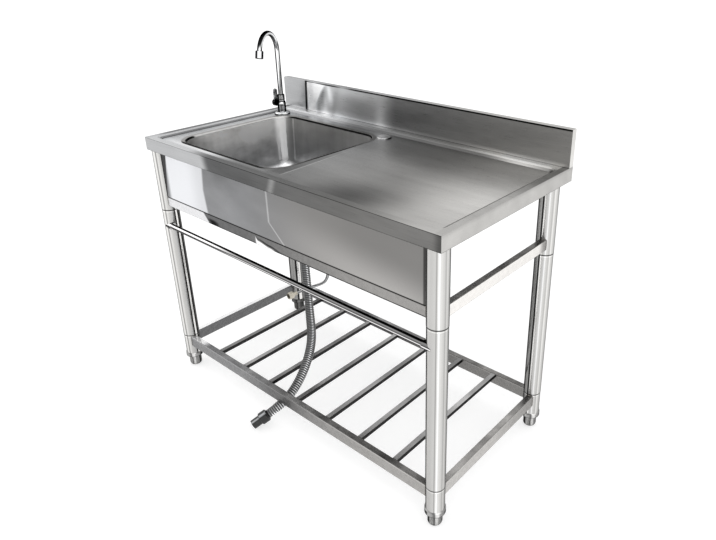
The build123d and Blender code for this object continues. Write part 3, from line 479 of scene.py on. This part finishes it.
# For each leg: the side its painted reflection bands are told from (a level direction), how dark a
# painted shade wedge its upper tube carries, and its bands as stops of (how far the tube has turned
# to that side, tone).
leg_bands = {
    "front_right": (
        (0.793, 0.609),
        0.0,
        [
            (-1, 0.12), (-0.94, 0.3), (-0.86, 0.8), (-0.6, 0.74), (-0.24, 0.76), (-0.12, 0.62),
            (-0.02, 0.86), (0.1, 0.98), (0.24, 0.84), (0.5, 0.78), (0.62, 0.68), (0.74, 0.82),
            (0.88, 0.74), (0.96, 0.4), (1, 0.15),
        ],
    ),
    "front_left": (
        (0.464, 0.886),
        0.8,
        [
            (-1, 0.4), (-0.92, 0.85), (-0.76, 0.93), (-0.64, 0.55), (-0.5, 0.84), (-0.2, 0.74),
            (0.1, 0.7), (0.26, 0.62), (0.35, 0.12), (0.43, 0.15), (0.5, 0.97), (0.64, 0.98),
            (0.71, 0.08), (0.82, 0.1), (0.89, 0.5), (0.96, 0.08), (1, 0.04),
        ],
    ),
    "back_right": (
        (0.891, 0.454),
        0.0,
        [
            (-1, 0.06), (-0.93, 0.12), (-0.84, 0.56), (-0.62, 0.6), (-0.52, 0.14), (-0.44, 0.12),
            (-0.37, 0.92), (-0.28, 0.95), (-0.18, 0.72), (0, 0.76), (0.12, 0.94), (0.28, 0.8),
            (0.5, 0.72), (0.6, 0.9), (0.76, 0.8), (0.92, 0.72), (1, 0.5),
        ],
    ),
    "back_left": (
        (0.618, 0.786),
        0.0,
        [
            (-1, 0.06), (-0.88, 0.1), (-0.78, 0.55), (-0.15, 0.6), (-0.05, 0.12), (0.12, 0.15),
            (0.2, 0.97), (0.55, 0.95), (0.64, 0.25), (0.8, 0.5), (1, 0.4),
        ],
    ),
}
# Painted reflections: the half that faces left and back has wide pale bands of its own.
far_bands = ((-1, 0.85), (-0.8, 0.7), (-0.68, 0.25), (-0.6, 0.9), (-0.3, 0.82), (0.1, 0.7))
for corner, ((side_x, side_y), wedge_depth, bands) in leg_bands.items():
    polish = Finish(
        f"leg polish {corner}", Metallic=0.8, Roughness=0.16, Specular_Tint=(0.3, 0.3, 0.3, 1)
    )
    turned = side_x * polish.nx + side_y * polish.ny
    wave = polish.noise((9.0, 9.0, 4.0), detail=1.0)
    tone = polish.ramp(turned + 0.08 * (wave - 0.5), *bands) + 0.1 * (wave - 0.5)
    facing = side_y * polish.nx - side_x * polish.ny
    tone = cover(tone, polish.ramp(facing, *far_bands), polish.rise(facing, 0.32, 0.12))
    for joint in leg_joints:
        tone = tone * (1 - 0.9 * polish.near(polish.z, joint, 0.0026))
        tone = tone + 0.14 * polish.near(polish.z, joint - 0.0045, 0.002)
    # Painted shade darkens the faces that turn down.
    tone = tone * (1 - 0.5 * polish.rise(polish.nz, -0.4, -0.8))
    # Painted shade: a dark wedge on the upper tube, as deep as the leg's entry gives.
    painted_dark_wedge = polish.rise(turned + 2.2 * (polish.z - 0.76), -0.15, -0.05)
    tone = tone * (1 - wedge_depth * painted_dark_wedge * polish.rise(polish.z, 0.62, 0.66))
    warmth = 0.6 - 0.35 * polish.near(turned, 0.1, 0.2)
    polish.set(
        Base_Color=polish.tint(tone, (0.985, 0.99, 1.0), (1.0, 0.98, 0.935), warmth),
        Roughness=0.12 + 0.14 * wave,
    )
    polish.bump(polish.noise((50.0, 50.0, 800.0)), 0.02, 0.0001)
    polish.on(*[nodes[f"{tube}_{corner}"] for tube in ("upper_leg", "lower_leg", "shelf_corner")])

inner = Finish("spigot steel", Metallic=0.86, Roughness=0.4)
inner.set(Base_Color=inner.tint(0.5 + 0.2 * (inner.noise((30.0, 30.0, 30.0)) - 0.5), cool_steel))
inner.on(nodes["upper_spigots"], nodes["lower_spigots"])

# ---------------------------------------------------------------- feet
# A pressed collar closes each leg, and a turned foot with a knurled rim screws into it for
# levelling. Painted reflection bands run round it; the back left foot is darkened by painted shade
# from the shelf.
corners = ("front_left", "front_right", "back_left", "back_right")
seam_z = 0.0388

foot = Finish("foot steel", Metallic=0.8, Roughness=0.3, Specular_Tint=(0.3, 0.3, 0.3, 1))
foot_bands = (
    (-1, 0.06), (-0.86, 0.12), (-0.72, 0.7), (-0.4, 0.62), (-0.12, 0.4), (0.02, 0.85),
    (0.24, 0.9), (0.45, 0.6), (0.8, 0.55), (0.9, 0.15), (1, 0.06),
)
# Painted reflection bands run round the foot and collar.
tone = foot.ramp(0.75 * foot.nx + 0.66 * foot.ny, *foot_bands)
facing = 0.66 * foot.nx - 0.75 * foot.ny
tone = cover(tone, 0.6, foot.rise(facing, 0.32, 0.12))
tone = tone * (1 - 0.7 * foot.near(foot.z, seam_z, 0.0025))
knurl = foot.noise((420.0, 420.0, 110.0))
below_collar = foot.rise(foot.z, seam_z - 0.0028, seam_z - 0.0048)
tone = tone * (1 - 0.1 * below_collar) + (0.1 + 0.4 * below_collar) * (knurl - 0.5)
# Painted shade darkens each foot where it meets the floor.
tone = tone * (0.55 + 0.45 * foot.rise(foot.z, 0.001, 0.01))
# Painted shade from the shelf darkens the back left foot.
back_left = foot.rise(foot.x, 0.2, -0.2) * foot.rise(foot.y, -0.1, 0.1)
tone = tone * (1 - 0.45 * back_left)
foot.set(
    Base_Color=foot.tint(tone, (0.985, 0.99, 1.0), (1.0, 0.98, 0.94)),
    Roughness=0.22 + 0.2 * knurl,
)
foot.bump(knurl, 0.15, 0.0004)
foot.on(nodes["leg_end_plugs"], *[nodes[f"foot_{corner}"] for corner in corners])

# ---------------------------------------------------------------- rails and shelf
# Rectangular tube with soft corners: rails welded between the legs, and slats between the shelf's
# rails. Painted reflections give the flat polish a dark ceiling from above and bright walls from
# the side.
upper_low, upper_high, shelf_low, shelf_high = 0.59, 0.62, 0.082, 0.118

rail = Finish("rail steel", Metallic=0.82, Roughness=0.24, Specular_Tint=(0.4, 0.4, 0.4, 1))
facing_up = rail.rise(rail.nz, 0.5, 0.9)
facing_front = rail.rise(rail.ny, -0.5, -0.9)
facing_right = rail.rise(rail.nx, 0.5, 0.9)
on_upper = rail.rise(rail.z, 0.4, 0.45)
on_left = rail.rise(rail.x, -0.4, -0.45)
# A painted reflection crosses the upper front rail: a pale curve, steep at first, then level, white
# below it and with a dark line along its top. Left of it the rail is pale behind a dark slanting
# band.
upper_front = 0.42 + 0.17 * rail.rise(rail.x, -0.2, 0.45)
curve = rail.ramp(rail.x, (-0.084, 0.62), (-0.066, 0.602), (-0.02, 0.595), (0.03, 0.588))
below = rail.rise(curve - rail.z, -0.001, 0.0015) * rail.rise(rail.x, -0.08, -0.072)
curve_line = rail.near(rail.z - curve, 0.0055, 0.004) * rail.near(rail.x, -0.02, 0.08)
upper_front = cover(upper_front, 1.0, below * rail.rise(rail.x, 0.035, 0.02)) - 0.3 * curve_line
slant = rail.x + 0.9 * (rail.z - 0.6)
pale_left = rail.rise(slant, -0.292, -0.3)
upper_front = upper_front - 0.34 * rail.near(slant, -0.268, 0.035) * rail.rise(rail.z, 0.61, 0.6)
upper_front = cover(upper_front, 0.9, pale_left)
# Dark lines run along the top and foot edges of the front face.
top_edge_line = rail.rise(rail.z, upper_high - 0.0035, upper_high - 0.0015)
foot_edge_line = rail.rise(rail.z, upper_low + 0.0045, upper_low + 0.0025) * (1 - pale_left)
upper_front = upper_front * (1 - 0.7 * (top_edge_line + foot_edge_line) * (1 - below))
# Painted reflection tones for each face: the front, the right side and the top.
shelf_front = 0.58 + 0.08 * rail.rise(rail.x, 0.0, 0.45) - 0.12 * rail.near(rail.x, -0.04, 0.2)
shelf_front = shelf_front + 0.08 * rail.rise(rail.z, shelf_high - 0.006, shelf_high - 0.002)
shelf_front = shelf_front - 0.14 * rail.rise(rail.y, 0, 0.1)
upper_right = 0.95 - 0.3 * rail.rise(rail.y, 0.15, 0.18)
shelf_right = 0.8 - 0.16 * rail.rise(rail.y, -0.05, 0.2)
right_tone = cover(cover(shelf_right, upper_right, on_upper), 0.44, on_left)
top_cloud = rail.noise((9.0, 9.0, 9.0), detail=3.0)
top_tone = 0.48 + 0.9 * (top_cloud - 0.5) + 0.6 * on_left + 0.12 * rail.near(rail.x, 0.53, 0.03)
tone = cover(0.42, cover(shelf_front, upper_front, on_upper), facing_front)
tone = cover(cover(tone, right_tone, facing_right), top_tone, facing_up)
# Painted shade darkens the faces that turn down.
tone = tone * (1 - 0.6 * rail.rise(rail.nz, -0.1, -0.5))
# Painted shade darkens the upper corners of the tube.
corner_shade = rail.near(rail.ny, -0.7, 0.25) + rail.near(rail.nx, 0.7, 0.25)
tone = tone * (1 - 0.75 * rail.near(rail.nz, 0.7, 0.25) * corner_shade)
scuffs = rail.noise((90.0, 90.0, 90.0))
tone = tone + 0.1 * (scuffs - 0.5)
rail.set(
    Base_Color=rail.tint(
        tone, (0.985, 0.985, 1.0), (1.0, 0.975, 0.945), rail.rise(rail.x, -0.3, 0.3)
    ),
    Roughness=0.2 + 0.14 * scuffs,
)
rail.bump(scuffs, 0.05, 0.0003)
for ring in ("upper", "shelf"):
    rail.on(*[nodes[f"{ring}_rail_{side}"] for side in ("front", "back", "left", "right")])

slat = Finish("slat steel", Metallic=0.82, Roughness=0.24, Specular_Tint=(0.4, 0.4, 0.4, 1))
blotch = slat.noise((6.0, 8.0, 6.0), detail=3.0)
# Painted light and shade: the tops lighter than the sides, the sides darker where they turn right,
# the undersides and upper corners darker still.
slat_top = 0.56 + 0.6 * (blotch - 0.5) + 0.08 * slat.rise(slat.x, 0.1, 0.45)
slat_side = 0.44 - 0.24 * slat.rise(slat.nx, 0.4, 0.8)
tone = cover(slat_side, slat_top, slat.rise(slat.nz, 0.5, 0.9))
tone = tone * (1 - 0.7 * slat.rise(slat.nz, -0.1, -0.5))
tone = tone * (1 - 0.75 * slat.near(slat.nz, 0.7, 0.25))
slat.set(Base_Color=slat.tint(tone, (0.985, 0.985, 1.0), (1.0, 0.98, 0.955)))
slat.bump(slat.noise((90.0, 90.0, 90.0)), 0.05, 0.0003)
slat.on(*[nodes[f"shelf_slat_{number}"] for number in range(1, 8)])

# ---------------------------------------------------------------- towel rod
# Bright-polished round tube, welded with a ring at each end to the front legs. Painted reflections
# on it show the pale wall at its left, a dark room further right.
rod = Finish("rod steel", Metallic=0.85, Roughness=0.14, Specular_Tint=(0.2, 0.2, 0.2, 1))
pale_bands = (
    (-1, 0.1), (-0.6, 0.6), (-0.5, 0.1), (-0.3, 0.05),
    (-0.1, 1.0), (0.4, 1.0), (0.58, 0.04), (1, 0.04),
)
dark_bands = (
    (-1, 0.3), (-0.74, 0.05), (-0.6, 0.95), (-0.42, 0.9), (-0.3, 0.15),
    (-0.1, 0.45), (0.3, 0.55), (0.5, 0.04), (1, 0.04),
)
upward = 0.86 * rod.nz + 0.5 * rod.ny
pale_end, dark_end = rod.ramp(upward, *pale_bands), rod.ramp(upward, *dark_bands)
tone = cover(pale_end, dark_end, rod.rise(rod.x, -0.3, -0.14))
tone = cover(tone, 0.7, rod.rise(rod.ny, 0.35, 0.6))
drift = rod.noise((7.0, 20.0, 20.0), detail=1.0)
tone = tone + 0.14 * (drift - 0.5)
rod.set(Base_Color=rod.tint(tone, (1.0, 0.985, 0.985)), Roughness=0.1 + 0.12 * drift)
rod.on(nodes["towel_rod"])

# ---------------------------------------------------------------- welds
# Every rail is welded to its leg all the way round: a narrow steel bead of ripples laid one after
# another, speckled with scale and tanned here and there by the heat.
leg_x, front_leg_y, back_leg_y = 0.522, -0.247, 0.213
rail_width, rail_aside, back_lift = 0.018, 0.006, 0.13


def skin(name, grid, body, spans=None):
    """
    A smooth closed piece from a grid of points, rows by columns: each row joins its first point
    again, and the last row the first. spans gives each row's place along it for the UV map, which
    is 0 to 1 otherwise.
    """
    rows, columns = grid.shape[:2]
    spans = np.linspace(0, 1, rows) if spans is None else spans
    row, column = np.ogrid[:rows, :columns]
    next_row, next_column = (row + 1) % rows, (column + 1) % columns
    quads = np.stack(
        (
            row * columns + column,
            row * columns + next_column,
            next_row * columns + next_column,
            next_row * columns + column,
        ),
        axis=-1,
    ).reshape(-1, 4)
    mesh = bpy.data.meshes.new(name)
    mesh.from_pydata(grid.reshape(-1, 3), [], quads)
    mesh.polygons.foreach_set("use_smooth", np.ones(len(quads), bool))
    places = np.empty((rows, columns, 4, 2))
    places[..., 0] = (column[..., None] + np.array((0, 1, 1, 0))) / columns
    places[..., 1] = spans[np.stack((row, row, next_row, next_row), axis=-1)]
    mesh.uv_layers.new(name="places").data.foreach_set("uv", places.ravel())
    mesh.update()
    piece = bpy.data.objects.new(name, mesh)
    scene.collection.objects.link(piece)
    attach(piece, body)
    return piece


def weld_bead(name, leg, radius, heading, middle, low, high):
    """
    A closed bead round the end of one rail, u along the outline of the rail and v round the bead.
    The outline is a square-cornered oval |q/a|^8 + |h/b|^8 = 1 on the leg's tube, at the depth
    sqrt(radius^2 - q^2) + 0.3 mm from its axis; the bead's own radius is 0.9 + 0.2 sin(60 u) mm.
    """
    ripples, steps_a_ripple, bead_sides, proud = 60, 4, 8, 0.0003
    u = np.linspace(0, 2 * np.pi, ripples * steps_a_ripple, endpoint=False)[:, None]
    v = np.linspace(0, 2 * np.pi, bead_sides, endpoint=False)[None, :]
    stretch = (np.abs(np.cos(u)) ** 8 + np.abs(np.sin(u)) ** 8) ** (-1 / 8)
    thick = 0.0009 + 0.0002 * np.sin(ripples * u)
    across = middle + 0.5 * rail_width * stretch * np.cos(u)
    height = 0.5 * (low + high) + 0.5 * (high - low) * stretch * np.sin(u)
    depth = np.sqrt(radius**2 - across**2) + thick * np.sin(v) + proud
    across = across + thick * np.cos(v) * np.cos(u)
    height = height + thick * np.cos(v) * np.sin(u)
    forward, sideways = np.array(heading), np.array([-heading[1], heading[0]])
    place = np.array(leg) + depth[..., None] * forward + across[..., None] * sideways
    bead = skin(name, np.concatenate([place, height[..., None]], axis=-1), "stand")
    return bead


beads = []
for ring, radius, low, high in (
    ("upper", 0.0255, upper_low, upper_high),
    ("shelf", 0.0245, shelf_low, shelf_high),
):
    for side_x, left_right in ((-1, "left"), (1, "right")):
        for side_y, front_back, leg_y in ((-1, "front", front_leg_y), (1, "back", back_leg_y)):
            leg = (leg_x * side_x, leg_y)
            middle = rail_aside * side_x * side_y
            # The rail along the back is higher than its neighbours, in the upper ring only.
            lift = back_lift if (ring, front_back) == ("upper", "back") else 0
            for run, heading, offset, raised in (
                ("along", (-side_x, 0), -middle, lift),
                ("across", (0, -side_y), middle, 0),
            ):
                name = f"weld_{ring}_{front_back}_{left_right}_{run}"
                bead = weld_bead(name, leg, radius, heading, offset, low + raised, high + raised)
                beads.append(bead)

weld = Finish("weld steel", Metallic=0.8, Roughness=0.34, Specular_Tint=(0.3, 0.3, 0.3, 1))
scale = weld.noise((700.0, 700.0, 700.0))
tan = weld.noise((60.0, 60.0, 60.0), detail=1.0)
weld.set(
    Base_Color=weld.tint(0.5 + 0.6 * (scale - 0.5), (0.97, 0.98, 1.0), (1.0, 0.86, 0.68), tan),
    Roughness=0.28 + 0.2 * scale,
)
weld.on(*beads)

# ---------------------------------------------------------------- tap
# Chromed brass: turned body with its threaded shank and nut, a bent spout under a collar nut, a
# flat lever on the valve and a cap in the spare hole. Painted reflections lay black and white bands
# on the chrome.
chrome = Finish("tap chrome", Metallic=1.0, Roughness=0.06, Specular_Tint=(0.15, 0.15, 0.15, 1))
turned = chrome.toward((0.786, -0.618, 0))
# Three light and three dark painted reflection bands run round it: the cosine of three times the
# angle.
bands = turned * (4 * turned**2 - 3)
tone = chrome.ramp(bands, (-1, 0.03), (-0.55, 0.04), (-0.2, 0.5), (0.1, 1.0), (1, 1.0))
# Round the arch the painted bands lie along the pipe: dark on top, light on its sides.
arch = chrome.ramp(
    chrome.nz, (-1, 0.3), (-0.6, 0.4), (-0.3, 0.95), (0.2, 0.9), (0.45, 0.15), (1, 0.03)
)
tone = cover(tone, arch, chrome.rise(chrome.z, 1.015, 1.04))
# Painted shadow darkens the aerator's mouth.
tone = tone - 0.9 * chrome.rise(chrome.y, 0.14, 0.12) * chrome.rise(chrome.z, 0.997, 0.995)
tone = tone + 0.08 * (chrome.noise((30.0, 30.0, 30.0), detail=1.0) - 0.5)
# A painted highlight covers the flange's dome.
dome_highlight = chrome.rise(chrome.nz, 0.35, 0.65) * chrome.rise(chrome.z, 0.806, 0.804)
tone = cover(tone, 0.95, dome_highlight)
# Thin dark rings part the flange, waist, ball, collar and nut.
for ring_z in (0.807, 0.8225, 0.8345, 0.8425, 0.858):
    tone = tone * (1 - 0.8 * chrome.near(chrome.z, ring_z, 0.0016))
chrome.set(Base_Color=chrome.tint(tone, (0.98, 0.99, 1.0)))
chrome.on(nodes["tap_body"], nodes["spout_nut"], nodes["spout"], nodes["aerator"])

lever = Finish("lever chrome", Metallic=1.0, Roughness=0.1, Specular_Tint=(0.2, 0.2, 0.2, 1))
ripple = lever.noise((120.0, 120.0, 90.0), detail=1.0)
tone = 0.5 + 1.1 * (ripple - 0.5) - 0.3 * lever.rise(lever.z, 0.845, 0.83)
lever.set(Base_Color=lever.tint(tone, (0.98, 0.99, 1.0)))
lever.on(nodes["tap_lever"])

cap = Finish("cap steel", Metallic=0.9, Roughness=0.2)
# Painted reflection: the cap's rim is light where it turns to the front, its top a flat grey.
cap_edge = 0.25 + 0.75 * cap.rise(cap.toward((0.1, -1, 0.3)), 0.3, 0.9)
tone = cover(0.42, cap_edge, cap.rise(cap.nz, 0.97, 0.6))
tone = tone + 0.08 * (cap.noise((60.0, 60.0, 60.0)) - 0.5)
cap.set(Base_Color=cap.tint(tone, (0.99, 0.99, 1.0)))
cap.on(nodes["hole_cover"])

rubber = Finish("black rubber", Roughness=0.7)
dust = rubber.noise((300.0, 300.0, 300.0))
rubber.set(
    Base_Color=rubber.tint(0.2 + 0.08 * (dust - 0.5), (1.0, 1.0, 1.0)),
    Roughness=0.6 + 0.2 * dust,
)
rubber.bump(dust, 0.2, 0.0003)
rubber.on(nodes["tap_gasket"], nodes["outlet_gasket"])

# ---------------------------------------------------------------- bowl outlet
# A pressed steel flange and strainer basket in the bowl; below it a moulded grey locknut, cup and
# tail nut that carry the hose.
pressed = Finish("outlet steel", Metallic=0.9, Roughness=0.2)
dents = pressed.noise((120.0, 120.0, 40.0), detail=1.0)
# Painted light brightens the side that turns right, and painted shade darkens what lies below the
# bowl's floor.
tone = 0.6 + 0.25 * pressed.rise(pressed.nx, -0.2, 0.5) + 0.1 * (dents - 0.5)
tone = tone - 0.3 * pressed.rise(pressed.z, 0.611, 0.603)
pressed.set(
    Base_Color=pressed.tint(tone, cool_steel),
    Roughness=0.16 + 0.14 * dents,
)
pressed.on(nodes["outlet_flange"], nodes["strainer_basket"])

moulded = Finish("grey moulding", Roughness=0.42)
speck = moulded.noise((400.0, 400.0, 400.0))
moulded.set(
    Base_Color=moulded.tint(0.6 + 0.06 * (speck - 0.5), (0.98, 0.99, 1.0)),
    Roughness=0.36 + 0.14 * speck,
)
moulded.bump(speck, 0.1, 0.0002)
moulded.on(nodes["outlet_locknut"], nodes["outlet_body"], nodes["tail_nut"])

# ---------------------------------------------------------------- drain hose
# Ribbed plastic hose from the tail nut to the floor in front: a wall moulded in rings, plain at
# both ends, with a stepped cuff and nozzle pushed on its loose end.
def hose_line(name, points):
    """The smooth line of a hose, read from a NURBS curve with those control points, in metres."""
    curve = bpy.data.curves.new(name, "CURVE")
    curve.dimensions = "3D"
    curve.resolution_u = 24
    line = curve.splines.new("NURBS")
    line.points.add(len(points) - 1)
    line.points.foreach_set("co", np.c_[points, np.ones(len(points))].ravel())
    line.order_u = 3
    line.use_endpoint_u = True
    holder = bpy.data.objects.new(name, curve)
    mesh = bpy.data.meshes.new_from_object(holder)
    spots = np.empty(len(mesh.vertices) * 3)
    mesh.vertices.foreach_get("co", spots)
    bpy.data.objects.remove(holder)
    bpy.data.meshes.remove(mesh)
    return spots.reshape(-1, 3)


def distance(path):
    """How far along the path each of its points lies."""
    return np.r_[0, np.cumsum(np.linalg.norm(np.diff(path, axis=0), axis=1))]


def tube_rings(path, places, radii, steady, sides):
    """
    Rings of points on a tube, u along the path and v round it: the path's point at the place u,
    plus radius(u) (cos v, sin v) across the path, with cos v turned towards the steady direction.
    """
    reach = distance(path)
    centres = np.c_[tuple(np.interp(places, reach, path[:, k]) for k in range(3))]
    slopes = np.gradient(path, reach, axis=0)
    heads = np.c_[tuple(np.interp(places, reach, slopes[:, k]) for k in range(3))]
    heads /= np.linalg.norm(heads, axis=1, keepdims=True)
    across = steady - heads * (heads @ steady)[:, None]
    across /= np.linalg.norm(across, axis=1, keepdims=True)
    over = np.cross(heads, across)
    v = np.linspace(0, 2 * np.pi, sides, endpoint=False)[None, :, None]
    spread = np.cos(v) * across[:, None, :] + np.sin(v) * over[:, None, :]
    return centres[:, None, :] + np.asarray(radii)[:, None, None] * spread


drain_points = (
    np.array(
        [
            (-255, 40, 512),
            (-255, 40, 426),
            (-251, 38, 334),
            (-232, 25, 258),
            (-190, -8, 200),
            (-132, -54, 168),
            (-86, -108, 149),
            (-61, -163, 114),
            (-57, -212, 77),
            (-64, -256, 55),
            (-79.4, -287.4, 37.3),
        ]
    )
    / 1000
)
drain_path = hose_line("drain_line", drain_points)
drain_length = distance(drain_path)[-1]
plain_end = 0.029
rib_count, steps_a_rib = 101, 8
rib_root, rib_crest, drain_bore = 0.0128, 0.0145, 0.0114
steps = np.arange(rib_count * steps_a_rib + 1)
rib_places = np.linspace(plain_end, drain_length - plain_end, len(steps))
rib_share = 0.5 - 0.5 * np.cos(2 * np.pi * steps / steps_a_rib)
# The power below 1 makes the ribs' crests a little wider than their roots.
rib_radii = rib_root + (rib_crest - rib_root) * rib_share**0.8
outer_places = np.r_[0, plain_end / 2, rib_places, drain_length - plain_end / 2, drain_length]
outer_radii = np.r_[rib_root, rib_root, rib_radii, rib_root, rib_root]
bore_places = np.linspace(drain_length, 0, 160)
drain_places = np.r_[outer_places, bore_places]
drain_grid = tube_rings(
    drain_path,
    drain_places,
    radii=np.r_[outer_radii, np.full(len(bore_places), drain_bore)],
    steady=np.array((0.95, 0.3, 0)) / math.hypot(0.95, 0.3),
    sides=32,
)
drain_hose = skin("drain_hose_ribs", drain_grid, "stand", spans=drain_places)
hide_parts("drain_hose")

ribbed = Finish("ribbed plastic", Roughness=0.32)
along_hose = ribbed.split(ribbed.node("ShaderNodeTexCoord", {}, {}, "UV"))[1]
rib_pitch = float((drain_length - 2 * plain_end) / rib_count)
rib = 0.5 - 0.5 * ribbed.maths("COSINE", (along_hose - plain_end) * (2 * math.pi / rib_pitch))
aside = 0.63 * ribbed.nx + 0.777 * ribbed.ny
# Painted reflection bands run along the hose, darkest at its edges; painted shade fills the grooves
# between the ribs, and painted glints sit on their crests.
hose_bands = ((-1, 0.2), (-0.7, 0.36), (-0.2, 0.52), (0.3, 0.56), (0.8, 0.36), (1, 0.15))
tone = ribbed.ramp(aside, *hose_bands) * (0.35 + 0.75 * rib)
tone = tone + 0.1 * (ribbed.noise((40.0, 40.0, 40.0)) - 0.5)
tone = tone + 0.7 * ribbed.near(aside, 0.35, 0.34) * ribbed.rise(rib, 0.45, 0.95)
ribbed.set(Base_Color=ribbed.tint(tone, (0.975, 0.985, 1.0)))
ribbed.on(drain_hose)

cuff = Finish("cuff plastic", Roughness=0.4)
# Painted reflection bands run along the cuff.
cuff_bands = (
    (-1, 0.1), (0.1, 0.16), (0.35, 0.1), (0.5, 0.62),
    (0.66, 0.7), (0.8, 0.2), (1, 0.16),
)
tone = cuff.ramp(0.85 * cuff.nz - 0.5 * cuff.nx, *cuff_bands)
tone = tone + 0.14 * (cuff.noise((90.0, 90.0, 90.0)) - 0.5)
cuff.set(Base_Color=cuff.tint(tone, (0.95, 0.97, 1.0)))
cuff.on(nodes["hose_cuff"])

# ---------------------------------------------------------------- supply hose
# Rubber hose in a sleeve of woven steel wire, from the nut under the tap to a loose nut that waits
# for the wall valve. The nuts and the tap's backnut are turned brass.
supply_points = (
    np.array(
        [
            (-489, 187, 708),
            (-489, 187, 655),
            (-480, 188, 575),
            (-448, 190, 495),
            (-398, 194, 425),
            (-352, 198, 352),
            (-325, 200, 285),
            (-324, 201, 228),
            (-344, 204, 188),
            (-374, 207, 164),
            (-402, 203, 148),
            (-422, 189, 138),
            (-434, 166, 133),
            (-436, 138, 133),
        ]
    )
    / 1000
)
supply_path = hose_line("supply_line", supply_points)
braid_radius, supply_bore = 0.0055, 0.004
braid_places = np.linspace(0, distance(supply_path)[-1], 360)
back_places = braid_places[::-3]
supply_places = np.r_[braid_places, back_places]
supply_grid = tube_rings(
    supply_path,
    supply_places,
    radii=np.r_[
        np.full(len(braid_places), braid_radius), np.full(len(back_places), supply_bore)
    ],
    steady=np.array((1.0, 0, 0)),
    sides=24,
)
supply_hose = skin("supply_hose_braid", supply_grid, "stand", spans=supply_places)
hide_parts("supply_hose")

braid = Finish("steel braid", Metallic=0.8, Roughness=0.3)
around_hose, along_hose, _ = braid.split(braid.node("ShaderNodeTexCoord", {}, {}, "UV"))
# Bundles of wire cross as they wind round the hose both ways, and single wires show in them.
bundles, bundles_a_metre, wires, wires_a_metre = 2, 210, 24, 60
turn = 2 * math.pi
left_hand = braid.maths("SINE", (around_hose * bundles + along_hose * bundles_a_metre) * turn)
right_hand = braid.maths("SINE", (around_hose * bundles - along_hose * bundles_a_metre) * turn)
weave = 0.5 + 0.5 * left_hand * right_hand
strand = braid.maths("SINE", (around_hose * wires + along_hose * wires_a_metre) * turn)
tone = 0.08 + 0.8 * braid.rise(weave, 0.25, 0.75) + 0.06 * strand
braid.set(Base_Color=braid.tint(tone, (0.98, 0.99, 1.0)))
braid.bump(weave, 0.6, 0.0006)
braid.on(supply_hose)

brass = Finish("nut brass", Metallic=0.9, Roughness=0.28)
turning = brass.noise((300.0, 300.0, 300.0), detail=1.0)
# Painted shade darkens the side of each nut that turns away from the front.
tone = 0.78 - 0.5 * brass.rise(brass.toward((0.7, -0.6, 0.4)), 0.35, 0.1)
brass.set(
    Base_Color=brass.tint(tone + 0.2 * (turning - 0.5), (1.0, 0.94, 0.8)),
    Roughness=0.22 + 0.16 * turning,
)
brass.bump(turning, 0.1, 0.0003)
brass.on(nodes["tap_backnut"], nodes["supply_top_nut"], nodes["supply_end_nut"])
